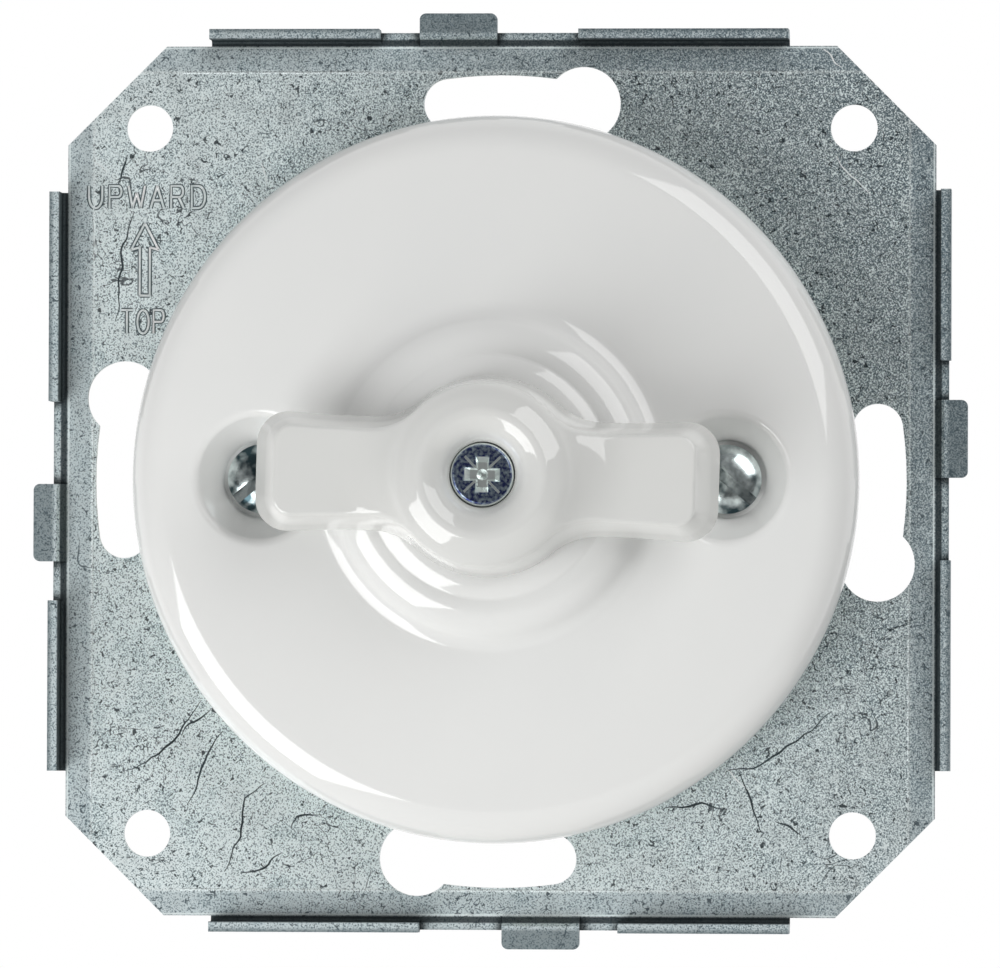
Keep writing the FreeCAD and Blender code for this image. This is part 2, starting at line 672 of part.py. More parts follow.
# The cover is a turned porcelain shell with two posts that stand on the base.
def build_cover():
    cover = new_body("cover")
    sketch = new_sketch(cover, "XZ_Plane")
    outer = "Dims.cover_diameter / 2"
    rim_inside = f"({outer} - Dims.rim_width)"
    bore = "Places.cover_bore / 2"
    boss_inside = "Places.boss_inside / 2"
    step_run = "(Places.ring_foot - Places.ring_edge)"
    step_rise = "(Places.ring_level - Places.boss_level)"
    step_radius = f"({step_run} ^ 2 + {step_rise} ^ 2) / (4 * {step_rise})"
    shoulder_x = "Dims.dome_radius * Places.rim_centre / Places.dome_drop"
    shoulder_y = "Places.dome_level + Dims.dome_radius * Places.dome_height / Places.dome_drop"
    foot_x = "(Places.boss_flat_radius + Dims.boss_edge_radius + 0.6 * Dims.boss_foot_radius)"
    foot_y = f"Places.dome_level + sqrt(Dims.dome_radius ^ 2 - {foot_x} ^ 2)"
    slope_x = "Places.boss_flat_radius + 0.82 * Dims.boss_edge_radius"
    slope_y = "Places.boss_level - 0.42 * Dims.boss_edge_radius"
    first = draw(sketch, [
        Step(bore, "Places.boss_ceiling"),
        Step(boss_inside, "Places.boss_ceiling"),
        Step(boss_inside, "Places.cover_ceiling"),
        Step(rim_inside, "Places.cover_ceiling"),
        Step(rim_inside, "Places.rim_low"),
        Step(f"{outer} - Dims.rim_foot_radius", "Places.rim_low"),
        Step(outer, "Places.rim_low + Dims.rim_foot_radius", "Dims.rim_foot_radius", "left"),
        Step(outer, "Places.rim_middle"),
        Step(shoulder_x, shoulder_y, "Dims.rim_radius", "left"),
        Step(foot_x, foot_y, "Dims.dome_radius", "left", True, True),
        Step(slope_x, slope_y, "Dims.boss_foot_radius", "right", True, True),
        Step("Places.boss_flat_radius", "Places.boss_level", "Dims.boss_edge_radius", "left", True),
        Step("Places.ring_foot", "Places.boss_level"),
        Step(f"Places.ring_foot - {step_run} / 2", f"Places.boss_level + {step_rise} / 2", step_radius,
             "right"),
        Step("Places.ring_edge", "Places.ring_level", step_radius, "left"),
        Step(bore, "Places.ring_level"),
    ])
    dome_curve = first + 9
    sketch.addConstraint(Sketcher.Constraint("PointOnObject", dome_curve, 3, -2))
    turn_sketch(cover, sketch, "Revolution")
    discs(cover, cover_spots, "Dims.post_diameter", "Places.base_front", "Places.cover_ceiling")
    holes(cover, cover_spots, "Dims.thread_diameter + 2 * Dims.screw_clearance", "Places.base_front",
          "Places.dish_seat")
    dish = new_sketch(cover, "XY_Plane", "Places.dish_seat")
    draw_circles(dish, cover_spots, "Places.dish_low_diameter")
    recess = cut(cover, dish, "Places.boss_level - Places.dish_seat")
    recess.Reversed = True
    recess.setExpression("TaperAngle", "atan(Dims.dish_flare / Dims.dish_depth)")
    reach = value("Places.cover_screw_pitch / 2")
    lip = value("Dims.dish_lip")

    def is_lip(edge):
        middle = edge.CenterOfMass
        near_screw = abs(abs(middle.x) - reach) < lip and abs(middle.y) < lip
        return near_screw and edge.BoundBox.ZMin > value("Places.cover_ceiling + Dims.dish_lip")

    round_edges(cover, "Dims.dish_lip", is_lip)


# The knob: a drafted butterfly outline, cut down to a turned top with a crest round the screw.
def build_knob():
    knob = new_body("knob", "Dims.knob_play")
    hub = "Dims.hub_diameter / 2"
    neck = "Dims.wing_neck / 2"
    tip = "Dims.knob_length / 2"
    blend_x = f"sqrt(({hub} + Dims.hub_blend) ^ 2 - ({neck} + Dims.hub_blend) ^ 2)"
    share = f"({hub}) / ({hub} + Dims.hub_blend)"
    touch_x = f"{blend_x} * {share}"
    touch_y = f"({neck} + Dims.hub_blend) * {share}"
    flare = f"({neck} + Dims.wing_flare - sqrt(Dims.wing_flare ^ 2 - ({tip} - {blend_x}) ^ 2))"
    plan = [
        Step(touch_x, touch_y, "Dims.hub_blend", "right"),
        Step("-" + touch_x, touch_y, hub, "left"),
        Step("-" + blend_x, neck, "Dims.hub_blend", "right"),
        Step("-" + tip, flare, "Dims.wing_flare", "right"),
        Step("-" + tip, "-" + flare),
        Step("-" + blend_x, "-" + neck, "Dims.wing_flare", "right"),
        Step("-" + touch_x, "-" + touch_y, "Dims.hub_blend", "right"),
        Step(touch_x, "-" + touch_y, hub, "left"),
        Step(blend_x, "-" + neck, "Dims.hub_blend", "right"),
        Step(tip, "-" + flare, "Dims.wing_flare", "right"),
        Step(tip, flare),
        Step(blend_x, neck, "Dims.wing_flare", "right"),
    ]
    sketch = new_sketch(knob, "XY_Plane", "Places.knob_base")
    draw(sketch, plan)
    block = pad(knob, sketch, "Places.hub_level - Places.knob_base")
    block.setExpression("TaperAngle", "-Dims.knob_draft")

    wing_end = value(f"{tip} - 2 * Dims.wing_corner")

    def is_corner(edge):
        box = edge.BoundBox
        return box.ZLength > value("Dims.hub_rise") and min(abs(box.XMin), abs(box.XMax)) > wing_end

    round_edges(knob, "Dims.wing_corner", is_corner)

    both = "(Dims.crest_outer + Dims.saddle_radius)"
    fall = "(Places.hub_level - Places.wing_level)"
    lean = f"sqrt(1 - (1 - {fall} / {both}) ^ 2)"
    inner_x = "(Dims.crest_radius - Dims.crest_inner * sin(Dims.funnel_angle))"
    inner_y = "(Places.hub_level - Dims.crest_inner * (1 - cos(Dims.funnel_angle)))"
    seat = "Places.knob_seat_diameter / 2"
    beyond = "Dims.knob_length"
    above = "Places.hub_level + Dims.hub_rise"
    turn(knob, [
        Step("0", "Places.knob_seat"),
        Step(seat, "Places.knob_seat"),
        Step(seat, f"{inner_y} - ({inner_x} - {seat}) * tan(Dims.funnel_angle)"),
        Step(inner_x, inner_y),
        Step("Dims.crest_radius", "Places.hub_level", "Dims.crest_inner", "right"),
        Step(f"Dims.crest_radius + Dims.crest_outer * {lean}",
             f"Places.hub_level - Dims.crest_outer * {fall} / {both}", "Dims.crest_outer", "right"),
        Step(f"Dims.crest_radius + {both} * {lean}", "Places.wing_level", "Dims.saddle_radius", "left"),
        Step(beyond, "Places.wing_level"),
        Step(beyond, above),
        Step("0", above),
    ], "Groove")

    saddle_end = value(f"Dims.crest_radius + {both} * {lean}")

    def is_upper(edge):
        middle = edge.CenterOfMass
        box = edge.BoundBox
        if isinstance(edge.Curve, Part.Circle) and abs(edge.Curve.Radius - saddle_end) < 0.01:
            return False
        outside = math.hypot(middle.x, middle.y) > value("Dims.crest_radius + Dims.crest_outer / 2")
        on_top = box.ZMin > value("Places.wing_level") - 0.001
        return outside and on_top and box.ZLength < value("Dims.hub_rise")

    round_edges(knob, "Dims.wing_edge", is_upper)
    round_edges(knob, "Dims.knob_foot", level_edge("Places.knob_base"))
    discs(knob, centre_spot, "Dims.spigot_diameter", "Places.spigot_low", "Places.knob_base")
    half_socket = "Places.socket_side / 2"
    trench(knob, box_steps("-" + half_socket, "-" + half_socket, half_socket, half_socket),
           "Places.spigot_low", "Places.socket_top")
    holes(knob, centre_spot, "Places.knob_screw_hole", "Places.socket_top", "Places.knob_seat")


def build_screws():
    cover_screws = new_body("cover_screws")
    cover_top = "Places.dish_seat + Dims.cover_head_height"
    discs(cover_screws, cover_spots, "Dims.cover_head_diameter", "Places.dish_seat", cover_top)
    round_edges(cover_screws, "Dims.cover_head_round", level_edge(cover_top))
    discs(cover_screws, cover_spots, "Dims.thread_diameter", "Places.cover_screw_end", "Places.dish_seat")
    for (x, y), angle in zip(cover_spots, ("Dims.right_slot_angle", "Dims.left_slot_angle")):
        steps = slot_steps(x, y, "Dims.cover_head_diameter + Dims.slot_cut", "Dims.slot_cut", angle)
        trench(cover_screws, steps, f"{cover_top} - Dims.slot_cut", cover_top)

    knob_screw = new_body("knob_screw", "Dims.knob_play")
    knob_top = "Places.knob_seat + Dims.knob_head_height"
    discs(knob_screw, centre_spot, "Dims.knob_head_diameter", "Places.knob_seat", knob_top)
    round_edges(knob_screw, "Dims.knob_head_round", level_edge(knob_top))
    discs(knob_screw, centre_spot, "Dims.thread_diameter", "Places.knob_screw_end", "Places.knob_seat")
    for angle in ("0", "90"):
        steps = slot_steps("0", "0", "Dims.cross_length", "Dims.cross_width", angle)
        trench(knob_screw, steps, f"{knob_top} - Dims.cross_depth", knob_top)

    base_screws = new_body("base_screws")
    head = new_sketch(base_screws, "XY_Plane", "Places.base_front")
    draw_circles(head, base_spots, "Dims.base_head_diameter")
    cone = pad(base_screws, head, "Dims.base_head_depth")
    cone.Reversed = True
    spread = "(Dims.base_head_diameter - Dims.small_thread_diameter) / 2"
    cone.setExpression("TaperAngle", f"-atan({spread} / Dims.base_head_depth)")
    discs(base_screws, base_spots, "Dims.small_thread_diameter", "Places.base_screw_end",
          "Places.base_front - Dims.base_head_depth / 2")
    for x, y in base_spots:
        steps = slot_steps(f"({x})", f"({y})", "Dims.base_head_diameter + Dims.slot_cut",
                           "Dims.slot_cut / 2", "Dims.base_slot_angle")
        trench(base_screws, steps, "Places.base_front - Dims.slot_cut / 2", "Places.base_front")

    bridge_screws = new_body("bridge_screws")
    bridge_top = "Places.base_front + Dims.bridge_head_height"
    discs(bridge_screws, bridge_spots, "Dims.bridge_head_diameter", "Places.base_front", bridge_top)
    round_edges(bridge_screws, "Dims.bridge_head_height / 3", level_edge(bridge_top))
    discs(bridge_screws, bridge_spots, "Dims.small_thread_diameter", "Places.bridge_screw_end",
          "Places.base_front")
    for x, y in bridge_spots:
        steps = slot_steps(x, y, "Dims.bridge_head_diameter + Dims.slot_cut", "Dims.slot_cut / 2",
                           "Dims.bridge_slot_angle")
        trench(bridge_screws, steps, f"{bridge_top} - Dims.slot_cut", bridge_top)

    terminal_screws = new_body("terminal_screws")
    clamp_low = "(Places.notch_floor - Dims.clamp_thickness)"
    terminal_low = f"({clamp_low} - Dims.terminal_head_height)"
    discs(terminal_screws, terminal_spots, "Dims.terminal_head_diameter", terminal_low, clamp_low)
    round_edges(terminal_screws, "Dims.terminal_head_height / 3", level_edge(terminal_low))
    discs(terminal_screws, terminal_spots, "Dims.thread_diameter", clamp_low, "Places.terminal_screw_end")
    slot_angles = ("Dims.way_one_slot_angle", "Dims.way_two_slot_angle", "Dims.common_slot_angle")
    for (x, y), angle in zip(terminal_spots, slot_angles):
        steps = slot_steps(x, y, "Dims.terminal_head_diameter + Dims.slot_cut", "Dims.slot_cut", angle)
        trench(terminal_screws, steps, terminal_low, f"{terminal_low} + Dims.slot_cut")


# The base: a steatite block whose flange rests on the plate's front, with the mechanism's cavity.
def build_base():
    base = new_body("switch_base")
    body_radius = "Places.base_diameter / 2"
    flange_radius = "Places.base_flange_diameter / 2"
    turn(base, [
        Step("0", "Places.base_rear"),
        Step(f"{body_radius} - Dims.base_edge", "Places.base_rear"),
        Step(body_radius, "Places.base_rear + Dims.base_edge", "Dims.base_edge", "left"),
        Step(body_radius, "Dims.sheet_steel"),
        Step(flange_radius, "Dims.sheet_steel"),
        Step(flange_radius, "Places.base_front"),
        Step("0", "Places.base_front"),
    ])
    holes(base, centre_spot, "Places.cavity_diameter", "Places.cavity_floor", "Places.base_front")
    holes(base, centre_spot, "Dims.pivot_diameter + 2 * Dims.pivot_play", "Places.pivot_floor",
          "Places.cavity_floor")
    half_width = "(Dims.bridge_width / 2 + Dims.bridge_play)"
    half_length = "(Places.bridge_length / 2 + Dims.bridge_play)"
    trench(base, box_steps("-" + half_width, "-" + half_length, half_width, half_length),
           "Places.base_front - Dims.bridge_thickness", "Places.base_front")
    end = "(Places.spring_length / 2 + Dims.groove_play)"
    leaf_x = "(Dims.cam_width / 2 + Dims.spring_gap + Dims.spring_bow)"
    near = f"({leaf_x} - Dims.groove_play)"
    far = f"({leaf_x} + Dims.spring_thickness + Dims.groove_play)"
    for left, right in ((near, far), ("-" + far, "-" + near)):
        trench(base, box_steps(left, "-" + end, right, end), "Places.spring_low - Dims.groove_play",
               "Places.base_front")
    holes(base, cover_spots, "Places.insert_diameter + 2 * Dims.tight_fit", "Places.insert_low",
          "Places.base_front")
    holes(base, bridge_spots, "Places.small_thread_hole", "Places.bridge_screw_end - Dims.blind_depth",
          "Places.base_front")
    holes(base, base_spots, "Dims.small_thread_diameter + Dims.screw_clearance", "Dims.sheet_steel",
          "Places.base_front")
    sink = new_sketch(base, "XY_Plane", "Places.base_front")
    draw_circles(sink, base_spots, "Dims.base_head_diameter + 2 * Dims.tight_fit")
    cone = cut(base, sink, "Dims.base_head_depth")
    spread = "(Dims.base_head_diameter - Dims.small_thread_diameter) / 2"
    cone.setExpression("TaperAngle", f"-atan({spread} / Dims.base_head_depth)")

    half_notch = "Places.notch_width / 2"
    beyond = "Places.base_diameter"
    for steps in (
        box_steps("Places.notch_start", "-" + half_notch, beyond, half_notch),
        box_steps("-" + half_notch, "Places.notch_start", half_notch, beyond),
        box_steps("-" + beyond, "-" + half_notch, "-Places.notch_start", half_notch),
    ):
        trench(base, steps, "Places.base_rear", "Places.notch_floor")
    holes(base, terminal_spots, "Dims.thread_diameter + 2 * Dims.screw_clearance", "Places.notch_floor",
          "Places.cavity_floor")

    inserts = new_body("cover_inserts")
    discs(inserts, cover_spots, "Places.insert_diameter", "Places.insert_low", "Places.base_front")
    holes(inserts, cover_spots, "Places.thread_hole", "Places.insert_low", "Places.base_front")


# The bridge carries the spindle's bush.
def build_bearing():
    bridge = new_body("bearing_bridge")
    half_width = "Dims.bridge_width / 2"
    half_length = "Places.bridge_length / 2"
    low = "Places.base_front - Dims.bridge_thickness"
    slab(bridge, box_steps("-" + half_width, "-" + half_length, half_width, half_length), low,
         "Places.base_front")
    holes(bridge, centre_spot, "Places.bush_diameter + 2 * Dims.tight_fit", low, "Places.base_front")
    holes(bridge, bridge_spots, "Dims.small_thread_diameter + Dims.screw_clearance", low,
          "Places.base_front")

    bush = new_body("spindle_bush")
    bore = "Dims.journal_diameter / 2 + Dims.journal_play"
    turn(bush, [
        Step(bore, "Places.bush_low"),
        Step("Places.bush_stake_diameter / 2", "Places.bush_low"),
        Step("Places.bush_stake_diameter / 2", low),
        Step("Places.bush_diameter / 2", low),
        Step("Places.bush_diameter / 2", "Places.base_front"),
        Step("Places.bush_flange_diameter / 2", "Places.base_front"),
        Step("Places.bush_flange_diameter / 2", "Places.base_front + Dims.bush_flange"),
        Step("Places.bush_diameter / 2", "Places.base_front + Dims.bush_flange"),
        Step("Places.bush_diameter / 2", "Places.bush_top"),
        Step(bore, "Places.bush_top"),
    ])

    spindle = new_body("spindle")
    turn(spindle, [
        Step("0", "Places.pivot_low"),
        Step("Dims.pivot_diameter / 2", "Places.pivot_low"),
        Step("Dims.pivot_diameter / 2", "Places.collar_low"),
        Step("Places.collar_width / 2", "Places.collar_low"),
        Step("Places.collar_width / 2", "Places.collar_top"),
        Step("Dims.journal_diameter / 2", "Places.collar_top"),
        Step("Dims.journal_diameter / 2", "Places.journal_top"),
        Step("0", "Places.journal_top"),
    ])
    for side, low_end, high_end in (
        ("Dims.drive_side / 2", "Places.rotor_foot_low", "Places.collar_low"),
        ("Dims.knob_square / 2", "Places.journal_top", "Places.spindle_top"),
    ):
        slab(spindle, box_steps("-" + side, "-" + side, side, side), low_end, high_end)
    holes(spindle, centre_spot, "Places.thread_hole", "Places.spindle_bore_end", "Places.spindle_top")

    washer = new_body("thrust_washer")
    discs(washer, centre_spot, "Places.washer_diameter", "Places.washer_low", "Places.washer_high")
    holes(washer, centre_spot, "Dims.journal_diameter + 2 * Dims.drive_play", "Places.washer_low",
          "Places.washer_high")


# The detent: a square cam between two leaf springs.
def build_detent():
    cam = new_body("index_cam")
    half = "Dims.cam_width / 2"
    slab(cam, box_steps("-" + half, "-" + half, half, half), "Places.cam_low", "Places.collar_low")
    round_edges(cam, "Dims.cam_corner", lambda edge: edge.BoundBox.ZLength > value("Dims.cam_thickness / 2"))
    square = "(Dims.drive_side / 2 + Dims.drive_play)"
    trench(cam, box_steps("-" + square, "-" + square, square, square), "Places.cam_low", "Places.collar_low")

    end = "Places.spring_length / 2"
    near = "(Dims.cam_width / 2 + Dims.spring_gap + Dims.spring_bow)"
    far = f"({near} + Dims.spring_thickness)"
    bow = f"(({end}) ^ 2 + Dims.spring_bow ^ 2) / (2 * Dims.spring_bow)"
    for label, angle in (("right_detent_spring", "0"), ("left_detent_spring", "180")):
        spring = new_body(label, angle)
        slab(spring, [
            Step(near, f"-{end}", bow, "left"),
            Step(far, f"-{end}"),
            Step(far, end, bow, "right"),
            Step(near, end),
        ], "Places.spring_low", "Places.spring_high")


def sector_steps(inner, outer, side):
    """A ring sector on the right (side "") or on the left (side "-") of the axis."""
    angle = "Dims.segment_angle"
    return [
        Step(f"{side}{inner} * cos({angle})", f"-{side}{inner} * sin({angle})", inner, "right"),
        Step(f"{side}{outer} * cos({angle})", f"-{side}{outer} * sin({angle})"),
        Step(f"{side}{outer} * cos({angle})", f"{side}{outer} * sin({angle})", outer, "left"),
        Step(f"{side}{inner} * cos({angle})", f"{side}{inner} * sin({angle})"),
    ]


# The rotor is moulded round the brass crown: a slip ring with two opposite segments.
def build_rotor():
    rotor = new_body("rotor")
    drum = "Places.rotor_diameter / 2"
    core = "(Dims.rotor_core / 2)"
    turn(rotor, [
        Step("0", "Places.rotor_foot_low"),
        Step("Places.rotor_hub / 2", "Places.rotor_foot_low"),
        Step("Places.rotor_hub / 2", "Places.rotor_low"),
        Step(drum, "Places.rotor_low"),
        Step(drum, "Places.ring_low"),
        Step(core, "Places.ring_low"),
        Step(core, "Places.segment_low"),
        Step(drum, "Places.segment_low"),
        Step(drum, "Places.rotor_high"),
        Step("Places.rotor_hub / 2", "Places.rotor_high"),
        Step("Places.rotor_hub / 2", "Places.cam_low"),
        Step("0", "Places.cam_low"),
    ])
    for side in ("", "-"):
        trench(rotor, sector_steps(core, "Places.rotor_diameter", side), "Places.segment_low",
               "Places.segment_high")
    square = "(Dims.drive_side / 2 + Dims.drive_play)"
    trench(rotor, box_steps("-" + square, "-" + square, square, square), "Places.rotor_foot_low",
           "Places.cam_low")

    crown = new_body("contact_crown")
    inner = "(Dims.rotor_core / 2 + Dims.tight_fit)"
    outer = "(Places.crown_diameter / 2)"
    turn(crown, box_steps(inner, "Places.ring_low", outer, "Places.segment_low"))
    for side in ("", "-"):
        slab(crown, sector_steps(inner, outer, side), "Places.segment_low", "Places.segment_high")


# A contact finger is a bent strip: a foot on the cavity's floor and an upright that leans to the crown.
def build_finger(label, angle, level):
    finger = new_body(label, angle)
    contact = "(Places.crown_diameter / 2 + Dims.finger_gap)"
    strip = "Dims.finger_thickness"
    floor = "Places.cavity_floor"
    sketch = new_sketch(finger, "XZ_Plane")
    draw(sketch, [
        Step("Places.finger_foot", floor),
        Step("Places.finger_foot", f"{floor} + {strip}"),
        Step(f"Places.finger_root + {strip}", f"{floor} + {strip}"),
        Step(f"Places.finger_root + {strip}", f"{level} - Dims.finger_lean + {strip} / 2"),
        Step(f"{contact} + {strip}", f"{level} + {strip} / 4"),
        Step(f"{contact} + 2 * {strip}", f"{level} + Dims.finger_tip"),
        Step(f"{contact} + {strip}", f"{level} + Dims.finger_tip"),
        Step(contact, level),
        Step("Places.finger_root", f"{level} - Dims.finger_lean"),
        Step("Places.finger_root", floor),
    ])
    pad(finger, sketch, "Dims.finger_width", symmetric=True)
    holes(finger, [("Places.terminal_radius", "0")], "Dims.thread_diameter + 2 * Dims.screw_clearance",
          floor, f"{floor} + {strip}")


def build_squares(label, side, low, high):
    """Three square plates on the terminal screws."""
    plates = new_body(label)
    sketch = new_sketch(plates, "XY_Plane", low)
    half = f"{side} / 2"
    for x, y in terminal_spots:
        draw(sketch, box_steps(f"{x} - {half}", f"{y} - {half}", f"{x} + {half}", f"{y} + {half}"))
    pad(plates, sketch, f"({high}) - ({low})")
    holes(plates, terminal_spots, "Places.thread_hole", low, high)


def build_terminals():
    build_finger("way_one_finger", "0", "Places.way_level")
    build_finger("way_two_finger", "90", "Places.way_level")
    build_finger("common_finger", "180", "Places.common_level")
    build_squares("terminal_nuts", "Dims.nut_side", "Places.nut_low", "Places.nut_high")
    build_squares("clamp_washers", "Dims.clamp_side", "Places.notch_floor - Dims.clamp_thickness",
                  "Places.notch_floor")


build_plate()
build_cover()
build_knob()
build_screws()
build_base()
build_bearing()
build_detent()
build_rotor()
build_terminals()
doc.recompute()

for item in doc.Objects:
    if "Invalid" in item.State or "Error" in item.State:
        raise RuntimeError(f"{item.Label} did not build")

os.makedirs("parts", exist_ok=True)
for piece in subparts:
    shape = piece.Shape
    if shape.isNull() or not shape.isValid():
        raise RuntimeError(f"{piece.Label} is not a valid solid")
    print(piece.Label, len(shape.Solids), round(shape.Volume, 2))
    shape.exportStep(f"parts/{piece.Label}.step")
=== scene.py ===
# %% [markdown]
# # A porcelain rotary switch
# The switch is a glazed porcelain cover and butterfly knob on a square plate of galvanised steel,
# with a block of steatite behind it that holds the contacts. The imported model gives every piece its
# size and place. This lesson dresses it: the glossy pieces are modelled again with finer curves, the
# pressed and turned pieces get their broken edges, and every surface gets its finish.

# %% Load the fixed frame
import math

import bmesh
import bpy
from mathutils import Matrix, Vector, geometry, noise


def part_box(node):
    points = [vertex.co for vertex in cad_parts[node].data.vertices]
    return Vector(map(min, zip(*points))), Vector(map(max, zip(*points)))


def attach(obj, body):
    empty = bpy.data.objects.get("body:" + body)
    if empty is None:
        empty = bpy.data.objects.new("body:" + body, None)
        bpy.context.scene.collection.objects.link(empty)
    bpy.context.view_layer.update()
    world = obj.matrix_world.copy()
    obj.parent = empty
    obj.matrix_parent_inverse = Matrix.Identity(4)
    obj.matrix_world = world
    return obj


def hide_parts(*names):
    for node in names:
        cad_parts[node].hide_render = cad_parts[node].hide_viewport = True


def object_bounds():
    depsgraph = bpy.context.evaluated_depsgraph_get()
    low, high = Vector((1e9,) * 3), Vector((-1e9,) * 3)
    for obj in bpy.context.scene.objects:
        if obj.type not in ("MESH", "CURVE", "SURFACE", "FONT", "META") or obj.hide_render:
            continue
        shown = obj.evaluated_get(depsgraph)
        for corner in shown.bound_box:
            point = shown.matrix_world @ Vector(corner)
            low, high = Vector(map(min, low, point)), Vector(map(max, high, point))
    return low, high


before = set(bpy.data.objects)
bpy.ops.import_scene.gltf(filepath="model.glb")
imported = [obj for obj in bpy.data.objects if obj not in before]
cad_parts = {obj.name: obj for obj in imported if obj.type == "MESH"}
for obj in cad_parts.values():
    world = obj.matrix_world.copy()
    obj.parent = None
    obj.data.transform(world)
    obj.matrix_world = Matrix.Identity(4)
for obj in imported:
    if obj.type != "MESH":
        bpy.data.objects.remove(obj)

cad_low, cad_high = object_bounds()
print("CAD box, mm:", [round(1000 * side, 2) for side in cad_high - cad_low])

# %% [markdown]
# ## Drawing in millimetres
# A switch is drawn from the front: u to the right, v up and w from the wall towards the room, all
# in millimetres from the middle of the plate's back. One matrix turns such a drawing into the
# frame, where the front looks along -Y. It is applied to the mesh, so that every finished object
# sits at the origin, unturned and unscaled.

# %% From a drawing to a piece
MM = 0.001
WELD = 0.0005
drawing_to_frame = Matrix(((MM, 0, 0, 0), (0, 0, -MM, 0), (0, MM, 0, 0), (0, 0, 0, 1)))
scene = bpy.context.scene


def add_piece(name, mesh, body, material, nodes=(), sharp=35):
    """Put a finished mesh into the scene as a piece that rides on a body."""
    mesh.shade_smooth()
    mesh.set_sharp_from_angle(angle=math.radians(sharp))
    mesh.materials.clear()
    mesh.materials.append(material)
    piece = bpy.data.objects.new(name, mesh)
    scene.collection.objects.link(piece)
    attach(piece, body)
    if nodes:
        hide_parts(*nodes)
    print(name, "faces:", len(mesh.polygons))
    return piece


def mesh_of(name, drawing):
    """Close a drawing's seams, turn its faces outwards and set it into the frame."""
    bmesh.ops.remove_doubles(drawing, verts=drawing.verts, dist=WELD)
    bmesh.ops.recalc_face_normals(drawing, faces=drawing.faces)
    drawing.transform(drawing_to_frame)
    mesh = bpy.data.meshes.new(name)
    drawing.to_mesh(mesh)
    drawing.free()
    return mesh


towards_room = drawing_to_frame @ Vector((0, 0, 1))
print("a millimetre towards the room, in metres:", [round(c, 4) for c in towards_room])

# %% [markdown]
# ## Camera
# The photograph looks at the switch almost straight on, from slightly right and below, through a
# long lens: pieces that stand nearer are moved a little to the left and up. The camera stands 0.9 m
# away and the lens follows from the width of the picture at the plate.

# %% Camera at the photograph's view
PICTURE_WIDTH = 1000
PICTURE_HEIGHT = 968
PIXELS_PER_MM = 12.7
VIEW_DISTANCE = 0.9
VIEW_AZIMUTH = math.radians(4.2)
VIEW_ELEVATION = math.radians(-1.5)
VIEW_ROLL = math.radians(0.2)
PLATE_CENTRE_PIXEL = (500.7, 481.3)

camera_data = bpy.data.cameras.new("Camera")
camera_data.lens = camera_data.sensor_width * VIEW_DISTANCE / (PICTURE_WIDTH / PIXELS_PER_MM * MM)
camera_data.clip_start = 0.01
camera = bpy.data.objects.new("Camera", camera_data)
scene.collection.objects.link(camera)
scene.camera = camera
aim = Vector((
    (PICTURE_WIDTH / 2 - PLATE_CENTRE_PIXEL[0]) / PIXELS_PER_MM * MM,
    0,
    (PLATE_CENTRE_PIXEL[1] - PICTURE_HEIGHT / 2) / PIXELS_PER_MM * MM,
))
towards_camera = Vector((
    math.sin(VIEW_AZIMUTH) * math.cos(VIEW_ELEVATION),
    -math.cos(VIEW_AZIMUTH) * math.cos(VIEW_ELEVATION),
    math.sin(VIEW_ELEVATION),
))
camera.location = aim + towards_camera * VIEW_DISTANCE
look = (-towards_camera).to_track_quat("-Z", "Y").to_matrix().to_4x4()
camera.rotation_euler = (look @ Matrix.Rotation(VIEW_ROLL, 4, "Z")).to_euler()
print("lens, mm:", round(camera_data.lens, 1))

# %% [markdown]
# ## Finishes: two helpers
# A colour is written as the hex value that a picture editor shows, and one function turns it into
# the linear numbers that the renderer works with. Another small function adds one node, sets it and
# links it, so that a material reads as a list of what happens to the surface.

# %% Colour and node helpers


def colour(hex_value):
    """The linear colour of an sRGB hex value."""
    channels = [int(hex_value[at:at + 2], 16) / 255 for at in (1, 3, 5)]
    linear = [c / 12.92 if c <= 0.04045 else ((c + 0.055) / 1.055) ** 2.4 for c in channels]
    return (*linear, 1)


def add(tree, kind, inputs=None, **settings):
    """Add a node with its settings; an input is a value or another node's output."""
    made = tree.nodes.new(kind)
    for name, setting in settings.items():
        setattr(made, name, setting)
    for key, given in (inputs or {}).items():
        if isinstance(given, bpy.types.NodeSocket):
            tree.links.new(given, made.inputs[key])
        else:
            made.inputs[key].default_value = given
    return made


def per(millimetres):
    """The scale of a pattern whose features are this large."""
    return 1 / (millimetres * MM)


def new_material(name):
    """An empty node material with its output, shader and Object coordinates."""
    material = bpy.data.materials.new(name)
    material.use_nodes = True
    tree = material.node_tree
    tree.nodes.clear()
    shader = add(tree, "ShaderNodeBsdfPrincipled")
    add(tree, "ShaderNodeOutputMaterial", {"Surface": shader.outputs["BSDF"]})
    where = add(tree, "ShaderNodeTexCoord").outputs["Object"]
    return material, tree, shader, where


print("the middle grey #808080 is", round(colour("#808080")[0], 3), "in linear numbers")

# %% [markdown]
# ## Studio
# The photograph has a pure white background, a strong soft light from the lower left and a weaker
# one from the upper right: each leaves a bright stripe on the cover's rim and a soft shadow on the
# other side of the knob. The world is white where the camera, or a reflection that looks past the
# switch, sees it, and a plain grey where it only gives light. That grey is darkest in front of the
# switch, where the photographer stood, and it grows lighter from the floor to the ceiling.

# %% The world around the switch
FRONT_GREY = 0.16
SIDE_GREY = 0.23
BACK_GREY = 0.60
FLOOR_SHARE = 0.3
CEILING_SHARE = 1.8
WHITE = colour("#FFFFFF")

